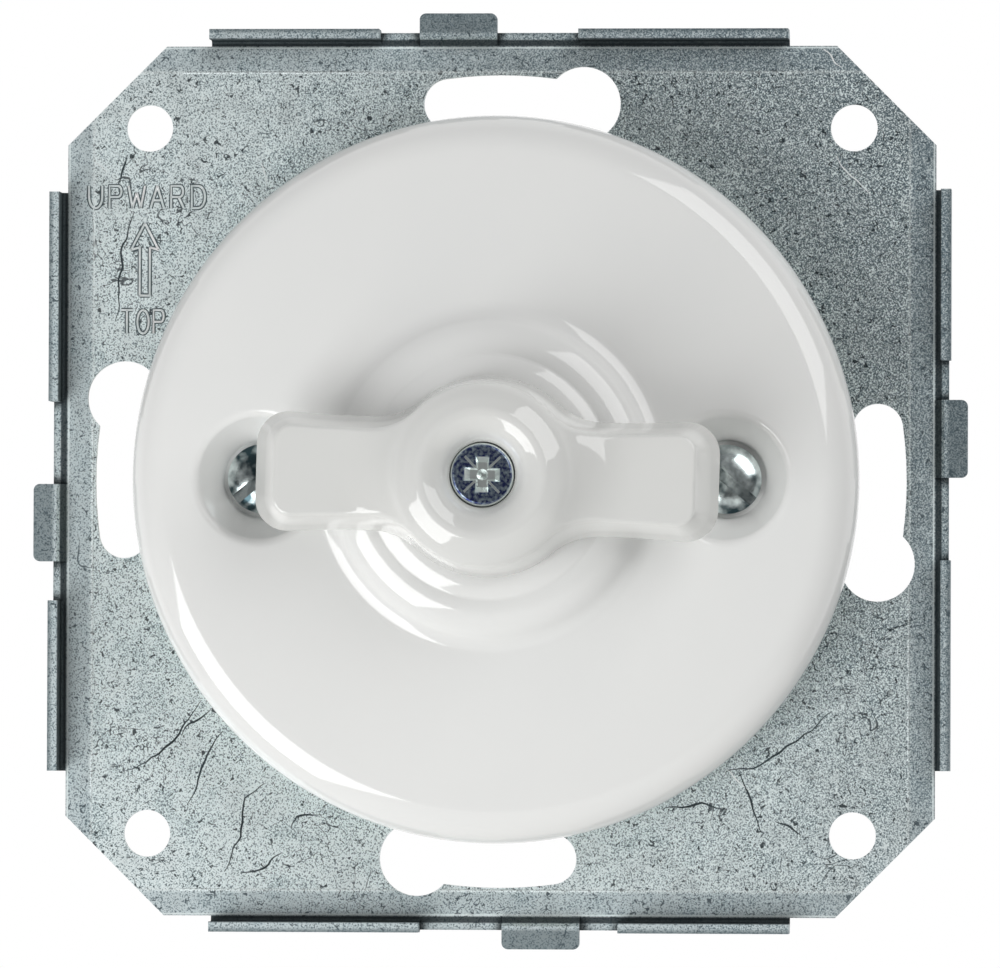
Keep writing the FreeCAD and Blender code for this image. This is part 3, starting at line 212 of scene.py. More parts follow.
world = bpy.data.worlds.new("Studio")
scene.world = world
world.use_nodes = True
sky = world.node_tree
sky.nodes.clear()
path = add(sky, "ShaderNodeLightPath").outputs
view = add(sky, "ShaderNodeTexCoord").outputs["Generated"]
direction = add(sky, "ShaderNodeSeparateXYZ", {0: view}).outputs
front = add(sky, "ShaderNodeMapRange",
            {0: direction["Y"], 1: -0.1, 2: -0.95, 3: SIDE_GREY, 4: FRONT_GREY})
around = add(sky, "ShaderNodeMapRange",
             {0: direction["Y"], 1: -0.1, 2: 0.5, 3: front.outputs[0], 4: BACK_GREY})
overhead = add(sky, "ShaderNodeMapRange",
               {0: direction["Z"], 1: -0.7, 2: 0.7, 3: FLOOR_SHARE, 4: CEILING_SHARE})
soft = add(sky, "ShaderNodeMath", {0: around.outputs[0], 1: overhead.outputs[0]},
           operation="MULTIPLY")
behind = add(sky, "ShaderNodeMapRange", {0: direction["Y"], 1: 0.0, 2: 0.4})
mirror = add(sky, "ShaderNodeMath", {0: path["Is Glossy Ray"], 1: path["Is Transmission Ray"]},
             operation="MAXIMUM")
past_switch = add(sky, "ShaderNodeMath", {0: mirror.outputs[0], 1: behind.outputs[0]},
                  operation="MULTIPLY")
seen = add(sky, "ShaderNodeMath", {0: path["Is Camera Ray"], 1: past_switch.outputs[0]},
           operation="MAXIMUM")
room = add(sky, "ShaderNodeBackground", {"Color": WHITE, "Strength": soft.outputs[0]})
backdrop = add(sky, "ShaderNodeBackground", {"Color": WHITE, "Strength": 1.0})
both = add(sky, "ShaderNodeMixShader",
           {0: seen.outputs[0], 1: room.outputs[0], 2: backdrop.outputs[0]})
add(sky, "ShaderNodeOutputWorld", {"Surface": both.outputs[0]})
print("nodes of the world:", len(sky.nodes))

# %% [markdown]
# A photographer sets a soft light by how far it stands off the switch's axis, where it stands round
# that axis, and how far away. The key is near and small, the fill is larger and further off. Neither
# shows in the picture itself, only in the glaze and the metal.

# %% Soft lights


def add_softbox(name, off_axis, round_axis, distance, across, along, watts):
    """A soft light, by its angle off the switch's axis and its angle round that axis."""
    lamp_data = bpy.data.lights.new(name, "AREA")
    lamp_data.shape = "RECTANGLE"
    lamp_data.size = across
    lamp_data.size_y = along
    lamp_data.energy = watts
    lamp = bpy.data.objects.new(name, lamp_data)
    scene.collection.objects.link(lamp)
    lamp.matrix_world = (Matrix.Rotation(-round_axis, 4, "Y") @ Matrix.Rotation(off_axis, 4, "Z")
                         @ Matrix.Rotation(math.radians(90), 4, "X")
                         @ Matrix.Translation((0, 0, distance)))
    lamp.visible_camera = False
    print(name, [round(c, 3) for c in lamp.location])


add_softbox("Key", off_axis=math.radians(51), round_axis=math.radians(219), distance=0.55,
            across=0.42, along=0.33, watts=1.95)
add_softbox("Fill", off_axis=math.radians(54), round_axis=math.radians(41), distance=0.9,
            across=0.68, along=0.66, watts=3.5)

# %% [markdown]
# The switch belongs on a wall, so its floor is a sheet of matt white paper far below the picture. It
# sends a little light up.

# %% Floor
FLOOR_BELOW = 0.70
FLOOR_HALF = 1.2
floor_drawing = bmesh.new()
bmesh.ops.create_grid(floor_drawing, x_segments=1, y_segments=1, size=FLOOR_HALF)
floor_mesh = bpy.data.meshes.new("Floor")
floor_drawing.to_mesh(floor_mesh)
floor_drawing.free()
floor = bpy.data.objects.new("Floor", floor_mesh)
floor.location.z = cad_low.z - FLOOR_BELOW
scene.collection.objects.link(floor)
paper, _, paper_shader, _ = new_material("matt_white_paper")
paper_shader.inputs["Base Color"].default_value = colour("#F2F2F0")
paper_shader.inputs["Roughness"].default_value = 0.9
floor_mesh.materials.append(paper)
scene.view_settings.view_transform = "Standard"
print("floor at", round(1000 * floor.location.z), "mm")

# %% [markdown]
# ## Glazed porcelain
# Porcelain is white clay fired until it is glassy, under a clear glaze that melts smooth. The eye
# gets an even, very slightly cool white with sharp window-like reflections, and the melted glaze
# leaves a slow waviness that bends those reflections a little. The clay below is a plain diffuse
# white; the glaze is the shader's own clear surface, with the index of a lead glaze. The knob's
# porcelain is a copy painted a little greyer than the cover's, as painted shade.

# %% Porcelain material
CLOUD = 14.0
PEEL = 7.0
GLAZE_IOR = 1.62


def glaze(name, shade, white):
    """White clay, clouded between two tones, under a clear wavy glaze."""
    material, tree, shader, where = new_material(name)
    cloud = add(tree, "ShaderNodeTexNoise", {"Vector": where, "Scale": per(CLOUD), "Detail": 3.0})
    clay = add(tree, "ShaderNodeMix", {0: cloud.outputs["Fac"], 6: colour(shade), 7: colour(white)},
               data_type="RGBA")
    tree.links.new(clay.outputs[2], shader.inputs["Base Color"])
    orange_peel = add(tree, "ShaderNodeTexNoise", {"Vector": where, "Scale": per(PEEL), "Detail": 1.0})
    ripple = add(tree, "ShaderNodeBump", {"Height": orange_peel.outputs["Fac"], "Strength": 0.12,
                                          "Distance": 0.02 * MM})
    tree.links.new(ripple.outputs[0], shader.inputs["Normal"])
    shader.inputs["Roughness"].default_value = 0.06
    shader.inputs["IOR"].default_value = GLAZE_IOR
    return material


turned_porcelain = glaze("turned_and_glazed_porcelain", "#EEEFEE", "#F4F4F2")
# painted shade: the knob gets a greyer copy of the cover's porcelain
knob_porcelain_painted_shade = glaze("glazed_porcelain_painted_shade", "#E0E1DF", "#E7E7E4")
print("porcelain:", turned_porcelain.name, knob_porcelain_painted_shade.name)

# %% [markdown]
# ## Galvanised sheet
# The plate is cold rolled sheet that went through molten zinc. The zinc sets as bright and dark
# grains a fraction of a millimetre across, with dark specks of dross, a few glints and grey blooms,
# and handling scores it with fine wandering marks. One noise, read at its two ends, makes the
# grains. The marks are where a slow noise crosses its middle value, kept only in patches. The sheet
# is also painted darker towards its upper right corner, a painted shade for the shadow of the cover
# and the light falling off across the plate. Each trait is a row: what drives it, where it starts,
# where it is full, how strong it gets, and the tint that it lays on the sheet.

# %% Traits of the zinc
GRAIN = 0.12
SPECK = 0.42
MARK = 4.0
PATCH = 8.0
BLOTCH = 2.5
TILT = (0.5, 0.6, 0.7)
CORNER_LEAN = 1.6


def zinc_traits(tree, where, axes):
    """The grain and bloom noises, the rows of what the bath and handling leave on the sheet, and a row
    of painted shade.
    """
    tilted = add(tree, "ShaderNodeMapping", {"Vector": where, "Rotation": TILT}).outputs[0]
    grain = add(tree, "ShaderNodeTexNoise",
                {"Vector": tilted, "Scale": per(GRAIN), "Detail": 1.0}).outputs["Fac"]
    bloom = add(tree, "ShaderNodeTexNoise",
                {"Vector": where, "Scale": per(BLOTCH), "Detail": 4.0}).outputs["Fac"]
    dross = add(tree, "ShaderNodeTexNoise", {"Vector": where, "Scale": per(SPECK), "Detail": 1.0,
                                             "Distortion": 1.2}).outputs["Fac"]
    # this rises towards the upper right corner and drives the painted shade there
    corner = add(tree, "ShaderNodeMath", {0: axes["X"], 1: CORNER_LEAN, 2: axes["Z"]},
                 operation="MULTIPLY_ADD").outputs[0]
    wander = add(tree, "ShaderNodeTexNoise", {"Vector": tilted, "Scale": per(MARK), "Detail": 3.0,
                                              "Distortion": 1.0}).outputs["Fac"]
    centred = add(tree, "ShaderNodeMath", {0: wander, 1: 0.5}, operation="SUBTRACT").outputs[0]
    away = add(tree, "ShaderNodeMath", {0: centred}, operation="ABSOLUTE").outputs[0]
    line = add(tree, "ShaderNodeMapRange", {0: away, 1: 0.006, 2: 0.0025}).outputs[0]
    handling = add(tree, "ShaderNodeTexNoise",
                   {"Vector": where, "Scale": per(PATCH), "Detail": 2.0}).outputs["Fac"]
    patch = add(tree, "ShaderNodeMapRange", {0: handling, 1: 0.52, 2: 0.57}).outputs[0]
    scored = add(tree, "ShaderNodeMath", {0: line, 1: patch}, operation="MULTIPLY").outputs[0]
    rows = {
        "bloom": (bloom, 0.5, 0.7, 0.5, "#93A6AB"),
        # painted shade: the sheet is tinted darker towards its upper right corner
        "painted_shade_to_corner": (corner, -30 * MM, 75 * MM, 0.85, "#74838A"),
        "bright_grain": (grain, 0.50, 0.64, 0.9, "#F6FFFF"),
        "dull_grain": (grain, 0.48, 0.36, 0.8, "#506269"),
        "glint": (dross, 0.33, 0.29, 0.8, "#F6FFFF"),
        "speck": (dross, 0.645, 0.69, 0.9, "#2C363B"),
        "score": (scored, 0.0, 1.0, 0.85, "#2F393E"),
    }
    return grain, bloom, rows


print("grains of zinc in a millimetre:", round(1 / GRAIN))

# %% [markdown]
# The press leaves traits that follow the square of the plate. Just outside the slots a low ridge
# shows where the holder gripped the sheet: its crest gets a painted highlight, and the rail beyond it
# is duller. Along the fold to the flanges the bend gets painted shade, with a painted highlight on the
# crease beside it, and the sheared flange is darker. Every inner corner gets painted shade too, which
# ambient occlusion finds by itself.

# %% Traits of the press
RAIL_FADE = 0.3
CREASE_IN = 0.38
FLANGE_FADE = (0.6, 0.9)
CORNER_SHADE_REACH = 0.9


def press_traits(tree, axes, ridge, bend):
    """The rows of what the press leaves, with painted highlights and shade at ridge and fold; ridge and
    bend are half-sides of squares, in millimetres.
    """
    side = add(tree, "ShaderNodeMath", {0: axes["X"]}, operation="ABSOLUTE").outputs[0]
    rise = add(tree, "ShaderNodeMath", {0: axes["Z"]}, operation="ABSOLUTE").outputs[0]
    reach = add(tree, "ShaderNodeMath", {0: side, 1: rise}, operation="MAXIMUM").outputs[0]
    beside = {}
    for line, half_side in (("ridge", ridge), ("bend", bend), ("painted_crease_highlight", bend - CREASE_IN)):
        offset = add(tree, "ShaderNodeMath", {0: reach, 1: half_side * MM}, operation="SUBTRACT")
        distance = add(tree, "ShaderNodeMath", {0: offset.outputs[0]}, operation="ABSOLUTE")
        beside[line] = distance.outputs[0]
    flange_start, flange_full = [(bend + fade) * MM for fade in FLANGE_FADE]
    # ambient occlusion finds the inner corners that get painted shade
    inner_corners = add(tree, "ShaderNodeAmbientOcclusion", {"Distance": CORNER_SHADE_REACH * MM},
                        samples=4, only_local=True)
    return {
        "rail": (reach, ridge * MM, (ridge + RAIL_FADE) * MM, 0.3, "#8496A0"),
        # painted highlight: the crest of the ridge is tinted bright
        "ridge": (beside["ridge"], 0.14 * MM, 0.04 * MM, 0.3, "#F4FAFA"),
        # painted shade: the bend of the fold is tinted dark
        "bend": (beside["bend"], 0.3 * MM, 0.2 * MM, 0.9, "#2E383C"),
        # painted highlight: a bright line on the crease just inside the bend
        "painted_crease_highlight": (beside["painted_crease_highlight"], 0.09 * MM, 0.04 * MM, 0.8, "#F6FFFF"),
        "flange": (reach, flange_start, flange_full, 0.6, "#55646A"),
        # painted shade: inner corners are tinted dark
        "painted_corner_shade": (inner_corners.outputs["AO"], 0.95, 0.66, 1.0, "#1B2326"),
    }


print("the rail fades in over", RAIL_FADE, "mm")

# %% [markdown]
# The finish lays all those tints over the grey of clean zinc, one after the other. The same traits
# shape the surface: a bump lifts the grains and the ridge and sinks the scores, and the blooms are
# rougher than the rest. Dull zinc carries a thin film of oxide, so it is not quite all metal.

# %% Galvanised material
RIDGE = 32.2
BEND = 34.5
OUTSIDE = 60.0


def galvanise(name, ground, ridge=OUTSIDE, bend=OUTSIDE):
    """Galvanised sheet of a grey; ridge and bend lie outside the piece unless they are given."""
    material, tree, shader, where = new_material(name)
    axes = add(tree, "ShaderNodeSeparateXYZ", {0: where}).outputs
    grain, bloom, rows = zinc_traits(tree, where, axes)
    rows.update(press_traits(tree, axes, ridge, bend))
    shares = {}
    tone = colour(ground)
    for trait, (driver, start, full, strength, tint) in rows.items():
        share = add(tree, "ShaderNodeMapRange", {0: driver, 1: start, 2: full, 4: strength})
        shares[trait] = share.outputs[0]
        laid = add(tree, "ShaderNodeMix", {0: shares[trait], 6: tone, 7: colour(tint)},
                   data_type="RGBA")
        tone = laid.outputs[2]
    tree.links.new(tone, shader.inputs["Base Color"])
    gloss = add(tree, "ShaderNodeMapRange", {0: bloom, 1: 0.3, 2: 0.7, 3: 0.5, 4: 0.66})
    tree.links.new(gloss.outputs[0], shader.inputs["Roughness"])
    sunk = add(tree, "ShaderNodeMath", {0: grain, 1: shares["score"]}, operation="SUBTRACT")
    relief = add(tree, "ShaderNodeMath", {0: sunk.outputs[0], 1: shares["ridge"]}, operation="ADD")
    bump = add(tree, "ShaderNodeBump",
               {"Height": relief.outputs[0], "Strength": 0.5, "Distance": 0.02 * MM})
    tree.links.new(bump.outputs[0], shader.inputs["Normal"])
    shader.inputs["Metallic"].default_value = 0.85
    print(name, "nodes:", len(tree.nodes))
    return material


galvanised = galvanise("galvanised_sheet_steel", "#F0FBFC", RIDGE, BEND)
bridge_steel = galvanise("galvanised_bridge_steel", "#C6D0D2")

# %% [markdown]
# ## Small metals, ceramic and resin
# The screws are zinc plated and passivated with a bluish sheen. Brass and bronze are turned or
# rolled, the springs are blued, the shaft is plainly turned: they share one recipe, a metal colour
# broken up by fine machining lines, with their own colours and roughness. Real tool marks are finer
# than a pixel, so these are drawn as coarse as they need to show. The base is unglazed steatite, matt
# and cream, and the rotor is dark moulded resin.

# %% Metals, steatite and resin
STRETCH = (1.0, 0.12, 1.0)


def machined(name, light, dark, roughness, line_width, metallic=1.0, depth=0.006, cloud=2.5):
    """A worked surface: colour and gloss broken up by fine lines along one direction."""
    material, tree, shader, where = new_material(name)
    along = add(tree, "ShaderNodeMapping", {"Vector": where, "Scale": STRETCH})
    lines = add(tree, "ShaderNodeTexNoise", {"Vector": along.outputs[0], "Scale": per(line_width),
                                             "Detail": 3.0, "Roughness": 0.6})
    clouds = add(tree, "ShaderNodeTexNoise", {"Vector": where, "Scale": per(cloud), "Detail": 3.0})
    parts = add(tree, "ShaderNodeMapRange", {0: clouds.outputs["Fac"], 1: 0.38, 2: 0.62})
    tone = add(tree, "ShaderNodeMix", {0: parts.outputs[0], 6: colour(dark), 7: colour(light)},
               data_type="RGBA")
    tree.links.new(tone.outputs[2], shader.inputs["Base Color"])
    gloss = add(tree, "ShaderNodeMapRange", {0: lines.outputs["Fac"], 1: 0.3, 2: 0.7,
                                             3: roughness * 0.8, 4: roughness * 1.25})
    tree.links.new(gloss.outputs[0], shader.inputs["Roughness"])
    bump = add(tree, "ShaderNodeBump", {"Height": lines.outputs["Fac"], "Strength": 0.4,
                                        "Distance": depth * MM})
    tree.links.new(bump.outputs[0], shader.inputs["Normal"])
    shader.inputs["Metallic"].default_value = metallic
    return material


zinc_plate = machined("zinc_plated_steel", "#F4FFFF", "#3C4E54", roughness=0.17, line_width=0.3,
                      depth=0.01, cloud=1.6)
brass = machined("turned_brass", "#D3B069", "#BF9952", roughness=0.28, line_width=0.2)
bronze = machined("rolled_phosphor_bronze", "#C99468", "#A87048", roughness=0.3, line_width=0.2)
spring_steel = machined("blued_spring_steel", "#5A6270", "#3A404A", roughness=0.3, line_width=0.2)
turned_steel = machined("turned_mild_steel", "#B4B4B0", "#8E8E8B", roughness=0.3, line_width=0.2)
resin = machined("moulded_phenolic_resin", "#2C1D14", "#20140D", roughness=0.4, line_width=0.6,
                 metallic=0.0)
steatite = machined("unglazed_steatite", "#E6E0D2", "#E2DCCD", roughness=0.75, line_width=0.5,
                    metallic=0.0, depth=0.02)
print("finishes so far:", len(bpy.data.materials))

# %% [markdown]
# ## Mounting plate
# The plate is one blank, punched and folded in a press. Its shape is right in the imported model, so
# a copy of that mesh is merged and its flat faces joined, and a bevel gives every sheared edge the
# tiny round that catches the light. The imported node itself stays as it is.

# %% Plate
FLAT = math.radians(0.4)


def node_copy(node):
    """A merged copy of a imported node, with its flat faces joined, in frame metres."""
    copy = bmesh.new()
    copy.from_mesh(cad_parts[node].data)
    bmesh.ops.remove_doubles(copy, verts=copy.verts, dist=0.001 * MM)
    bmesh.ops.dissolve_limit(copy, angle_limit=FLAT, verts=copy.verts, edges=copy.edges)
    mesh = bpy.data.meshes.new(node)
    copy.to_mesh(mesh)
    copy.free()
    return mesh


def break_edges(piece, width, segments=2):
    """Round the sharp edges of a piece by a width in millimetres."""
    bevel = piece.modifiers.new("broken_edges", "BEVEL")
    bevel.width = width * MM
    bevel.segments = segments
    bevel.limit_method = "ANGLE"
    bevel.angle_limit = math.radians(40)
    bevel.harden_normals = True


plate = add_piece("pressed_plate", node_copy("mounting_plate"), "switch_body",
                  galvanised, ["mounting_plate"])
break_edges(plate, width=0.1)

# %% [markdown]
# ## Cover
# The cover was jiggered: clay shaped by a template while it turned. So its section is one outline of
# straight lines and arcs, and spinning that outline makes the body. Two helpers draw such outlines:
# one gives the points of an arc, the other the direction in which two circles touch.

# %% Arcs and headings


def arc(centre, radius, start, end, steps):
    """Points of an arc in a drawing plane, from a start to an end angle in degrees."""
    angles = [math.radians(start + (end - start) * step / steps) for step in range(steps + 1)]
    return [(centre[0] + radius * math.cos(a), centre[1] + radius * math.sin(a)) for a in angles]


def heading(centre, point):
    """The angle in degrees at which a point lies from a centre."""
    return math.degrees(math.atan2(point[1] - centre[1], point[0] - centre[0]))


print("a point straight up lies at", heading((0, 0), (0, 1)), "degrees")

# %% [markdown]
# The section is measured in millimetres from the axis and from the wall, and the level of the boss is
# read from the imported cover. The hollow curve at the foot of the boss touches both the dome and the
# edge curve, and two circles of the right size find its middle.

# %% The cover's section
COVER_RADIUS = 28.5
RIM_LOW = 4.6
RIM_MIDDLE = 5.86
RIM_RADIUS = 3.4
RIM_FOOT = 0.8
RIM_INSIDE = 25.1
DOME_RADIUS = 200.0
BOSS_FLAT = 9.7
BOSS_EDGE = 3.2
BOSS_HOLLOW = 2.0
RING_EDGE = 7.2
RING_ROUND = 5.0
RING_STEP = 0.6
BORE = 5.4
BORE_ROUND = 0.3
CEILING = 6.2
BOSS_INSIDE = 8.5
BOSS_CEILING = 10.2
ring_level = -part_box("cover")[0].y / MM
boss_level = ring_level - RING_STEP

rim_centre = Vector((COVER_RADIUS - RIM_RADIUS, RIM_MIDDLE))
dome_sink = math.sqrt((DOME_RADIUS - RIM_RADIUS) ** 2 - rim_centre.x ** 2)
dome_centre = Vector((0, RIM_MIDDLE - dome_sink))
edge_centre = Vector((BOSS_FLAT, boss_level - BOSS_EDGE))
meetings = geometry.intersect_sphere_sphere_2d(dome_centre, DOME_RADIUS + BOSS_HOLLOW, edge_centre,
                                               BOSS_EDGE + BOSS_HOLLOW)
hollow_centre = max(meetings, key=lambda point: point.x)
foot = dome_centre + (hollow_centre - dome_centre) * DOME_RADIUS / (DOME_RADIUS + BOSS_HOLLOW)
foot_radius = foot.x
shoulder_heading = heading(dome_centre, rim_centre)
foot_heading = heading(dome_centre, hollow_centre)
slope_heading = heading(edge_centre, hollow_centre)
ring_sweep = math.degrees(math.acos(1 - RING_STEP / RING_ROUND))
print("foot of the boss at radius", round(foot_radius, 2), "mm")

section = [(BORE, BOSS_CEILING)]
section += arc((BORE + BORE_ROUND, ring_level - BORE_ROUND), BORE_ROUND, 180, 90, 4)
section += arc((RING_EDGE, ring_level - RING_ROUND), RING_ROUND, 90, 90 - ring_sweep, 10)
section += arc(edge_centre, BOSS_EDGE, 90, slope_heading, 14)
section += arc(hollow_centre, BOSS_HOLLOW, slope_heading + 180, foot_heading + 180, 10)[1:]
section += arc(dome_centre, DOME_RADIUS, foot_heading, shoulder_heading, 16)[1:]
section += arc(rim_centre, RIM_RADIUS, shoulder_heading, 0, 18)[1:]
section += arc((COVER_RADIUS - RIM_FOOT, RIM_LOW + RIM_FOOT), RIM_FOOT, 0, -90, 6)
section += [(RIM_INSIDE, RIM_LOW), (RIM_INSIDE, CEILING)]
section += [(BOSS_INSIDE, CEILING), (BOSS_INSIDE, BOSS_CEILING)]

# %% [markdown]
# Spinning is the potter's wheel of bmesh: it carries an outline round an axis and joins the last copy
# to the first. One small function turns the cover, its recesses, the knob's seat and the screws.

# %% Spin an outline
TURN_STEPS = 96


def spin(drawing, points, steps, closed=False):
    """Spin an outline of radius and height points about the w axis."""
    verts = [drawing.verts.new((r, 0, w)) for r, w in points]
    edges = [drawing.edges.new(pair) for pair in zip(verts, verts[1:])]
    if closed:
        edges.append(drawing.edges.new((verts[-1], verts[0])))
    return bmesh.ops.spin(drawing, geom=verts + edges, cent=(0, 0, 0), axis=(0, 0, 1), dvec=(0, 0, 0),
                          angle=math.tau, steps=steps, use_merge=True, use_duplicate=False)


print("sides of a small turned piece:", TURN_STEPS)

# %% [markdown]
# The two cover screws sit in dished recesses. A recess has a lip, a slope, a floor and the screw's
# hole, so it is spun as well, about its own axis. The cover's top is not level there: every point of
# the recess is lifted by the height of the dome above it, in full at the lip and not at all on the
# floor.

# %% A screw recess
SCREW_REACH = 18.2
DISH_SEAT = 5.8
DISH_LOW = 2.85
DISH_SLOPE = 0.5
DISH_LIP = 0.9
LIP_RUN = 0.35
BESIDE = 4.0
SCREW_HOLE = 1.65


def cover_height(u, v):
    """The height of the cover's top outside the boss's edge curve."""
    radius = math.hypot(u, v)
    if radius >= foot_radius:
        return dome_centre.y + math.sqrt(DOME_RADIUS ** 2 - radius ** 2)
    return hollow_centre.y - math.sqrt(BOSS_HOLLOW ** 2 - (hollow_centre.x - radius) ** 2)


def dish_section(top):
    """The outline of a recess, from its lip at the height of the top to the screw's hole."""
    corner = DISH_LOW + (top - DISH_SEAT) * DISH_SLOPE
    lean = math.degrees(math.atan(DISH_SLOPE))
    tangent = DISH_LIP / math.tan(math.radians((90 + lean) / 2))
    lip = arc((corner + tangent, top - DISH_LIP), DISH_LIP, 90, 180 - lean, 9)
    floor_edge = [(DISH_LOW + 0.1, DISH_SEAT + 0.3), (DISH_LOW - 0.3, DISH_SEAT)]
    return [(corner + tangent + LIP_RUN, top)] + lip + floor_edge + [(SCREW_HOLE, DISH_SEAT)]


def dish_mesh(axis):
    """A recess about an axis, with its lip at the height of the dome, as a loose mesh."""
    top = cover_height(SCREW_REACH, BESIDE)
    dish = bmesh.new()
    spin(dish, dish_section(top), TURN_STEPS)
    for vert in dish.verts:
        share = min(max((vert.co.z - DISH_SEAT) / (top - DISH_SEAT), 0), 1)
        vert.co.x += axis.x
        vert.co.z += share * (cover_height(vert.co.x, vert.co.y) - top)
    loose = bpy.data.meshes.new("recess")
    dish.to_mesh(loose)
    dish.free()
    return loose


print("depth of a recess, mm:", round(cover_height(SCREW_REACH, BESIDE) - DISH_SEAT, 2))

# %% [markdown]
# Spinning the section gives a plain turned cover. The faces over each recess are taken out, the
# recess is set in, and the two open edges are bridged. The rim of the screw's hole is drawn down and
# closed, below the head that will cover it.

# %% Spin the cover and sink the recesses
COVER_STEPS = 240
OPENED = 6.5
BRIDGED = OPENED + 2
HOLE_DEPTH = 2.5
top_side = CEILING + 1
cover = bmesh.new()
spin(cover, section, COVER_STEPS, closed=True)
for side in (1, -1):
    axis = Vector((side * SCREW_REACH, 0))
    over = [face for face in cover.faces
            if face.calc_center_median().z > top_side
            and (face.calc_center_median().xy - axis).length < OPENED]
    bmesh.ops.delete(cover, geom=over, context="FACES")
    recess = dish_mesh(axis)
    cover.from_mesh(recess)
    bpy.data.meshes.remove(recess)
    bmesh.ops.remove_doubles(cover, verts=cover.verts, dist=WELD)
    rim = [edge for edge in cover.edges if edge.is_boundary
           and all(vert.co.z > top_side and (vert.co.xy - axis).length < BRIDGED
                   for vert in edge.verts)]
    made = bmesh.ops.bridge_loops(cover, edges=rim)
    print("bridged", len(rim), "edges with", len(made["faces"]), "faces")
    hole = [edge for edge in cover.edges if edge.is_boundary]
    lowered = bmesh.ops.extrude_edge_only(cover, edges=hole)["geom"]
    sunk = [part for part in lowered if isinstance(part, bmesh.types.BMVert)]
    bmesh.ops.translate(cover, vec=(0, 0, -HOLE_DEPTH), verts=sunk)
    bmesh.ops.holes_fill(cover, edges=[edge for edge in cover.edges if edge.is_boundary], sides=0)

add_piece("porcelain_cover", mesh_of("porcelain_cover", cover), "switch_body",
          turned_porcelain, ["cover"], sharp=50)

# %% [markdown]
# ## Knob
# The knob is pressed porcelain: a butterfly in plan, with sloping sides, a crisp upper edge and a
# raised hub round the screw. Its plan is a few arcs that touch each other. Going up the side, the
# plan shrinks: most at the tips, least at the hub, so that the mould lets the knob go.

# %% The knob's plan
HUB = 7.85
NECK = 4.42
BLEND = 5.6
FLARE = 90.0
TIP = 18.0
WING_CORNER = 2.5
DRAFT = 0.25
TIP_SHARE = 1.6
HUB_SHARE = 0.47


def plan_loop(inset):
    """The knob's plan with its sides moved inwards by an inset, as points all round."""
    hub = HUB - HUB_SHARE * inset
    neck = NECK - inset
    blend = BLEND + inset / 2
    corner = WING_CORNER - inset
    flare = FLARE + inset
    blend_centre = (math.sqrt((hub + blend) ** 2 - (neck + blend) ** 2), neck + blend)
    flare_centre = (blend_centre[0], neck + flare)
    corner_u = TIP - TIP_SHARE * inset - corner
    drop = math.sqrt((flare + corner) ** 2 - (corner_u - flare_centre[0]) ** 2)
    corner_centre = (corner_u, flare_centre[1] - drop)
    to_blend = heading((0, 0), blend_centre)
    to_corner = heading(flare_centre, corner_centre)
    quarter = [(corner_u + corner, corner_centre[1] * step / 3) for step in range(3)]
    quarter += arc(corner_centre, corner, 0, to_corner + 180, 10)
    quarter += arc(flare_centre, flare, to_corner, -90, 14)[1:]
    quarter += arc(blend_centre, blend, 270, to_blend + 180, 14)[1:]
    quarter += arc((0, 0), hub, to_blend, 90, 12)[1:]
    upper = quarter + [(-u, v) for u, v in reversed(quarter[:-1])]
    return upper + [(u, -v) for u, v in reversed(upper[1:-1])]


print("points in a loop of the knob:", len(plan_loop(0)))

# %% [markdown]
# The top is turned about the screw: a funnel, a narrow crest, a slope that rolls over, and a hollow
# saddle that runs out into the flat wings. It is one outline of arcs again, each touching the next.

# %% The knob's turned top
WING_HEIGHT = 4.2
HUB_RISE = 3.6
CREST = 4.8
CREST_ROUND = 1.0
INNER_LEAN = 24
INNER_ROLL = 3.0
FUNNEL = 58
OUTER_LEAN = 28
SLOPE = 0.6
OUTER_ROLL = 3.4
SADDLE = 6.0
SEAT = 2.55
SEAT_SINK = 0.2
KNOB_GAP = 0.4
WING_RINGS = (12.5, 14, 16, 20)
knob_base = ring_level + KNOB_GAP
wing_level = knob_base + WING_HEIGHT
seat_level = wing_level - SEAT_SINK


def on_arc(centre, radius, angle):
    """The point of a circle at an angle in degrees."""
    return Vector(arc(centre, radius, angle, angle, 1)[0])


crest_centre = Vector((CREST, wing_level + HUB_RISE - CREST_ROUND))
inner_centre = on_arc(crest_centre, CREST_ROUND - INNER_ROLL, 90 + INNER_LEAN)
funnel_end = on_arc(inner_centre, INNER_ROLL, 90 + FUNNEL)
funnel_drop = (funnel_end.x - SEAT) * math.tan(math.radians(FUNNEL))
slope_end = on_arc(crest_centre, CREST_ROUND, 90 - OUTER_LEAN) + on_arc((0, 0), SLOPE, -OUTER_LEAN)
roll_centre = on_arc(slope_end, -OUTER_ROLL, 90 - OUTER_LEAN)
saddle_rise = wing_level + SADDLE - roll_centre.y
saddle_run = math.sqrt((OUTER_ROLL + SADDLE) ** 2 - saddle_rise ** 2)
saddle_centre = roll_centre + Vector((saddle_run, saddle_rise))
to_saddle = heading(roll_centre, saddle_centre)

turned_top = [(SEAT, funnel_end.y - funnel_drop)]
turned_top += arc(inner_centre, INNER_ROLL, 90 + FUNNEL, 90 + INNER_LEAN, 9)
turned_top += arc(crest_centre, CREST_ROUND, 90 + INNER_LEAN, 90 - OUTER_LEAN, 10)[1:]
turned_top += arc(roll_centre, OUTER_ROLL, 90 - OUTER_LEAN, to_saddle, 20)
turned_top += arc(saddle_centre, SADDLE, to_saddle - 180, -90, 24)[1:]
turned_top += [(radius, wing_level) for radius in WING_RINGS]


def top_height(place):
    """The height of the turned top at a place of the plan."""
    radius = max(place.length, SEAT)
    for (near, low), (far, high) in zip(turned_top, turned_top[1:]):
        if radius <= far:
            return low + (high - low) * (radius - near) / (far - near)
    return wing_level


print("saddle from", round(slope_end.x, 2), "to", round(saddle_centre.x, 2), "mm")

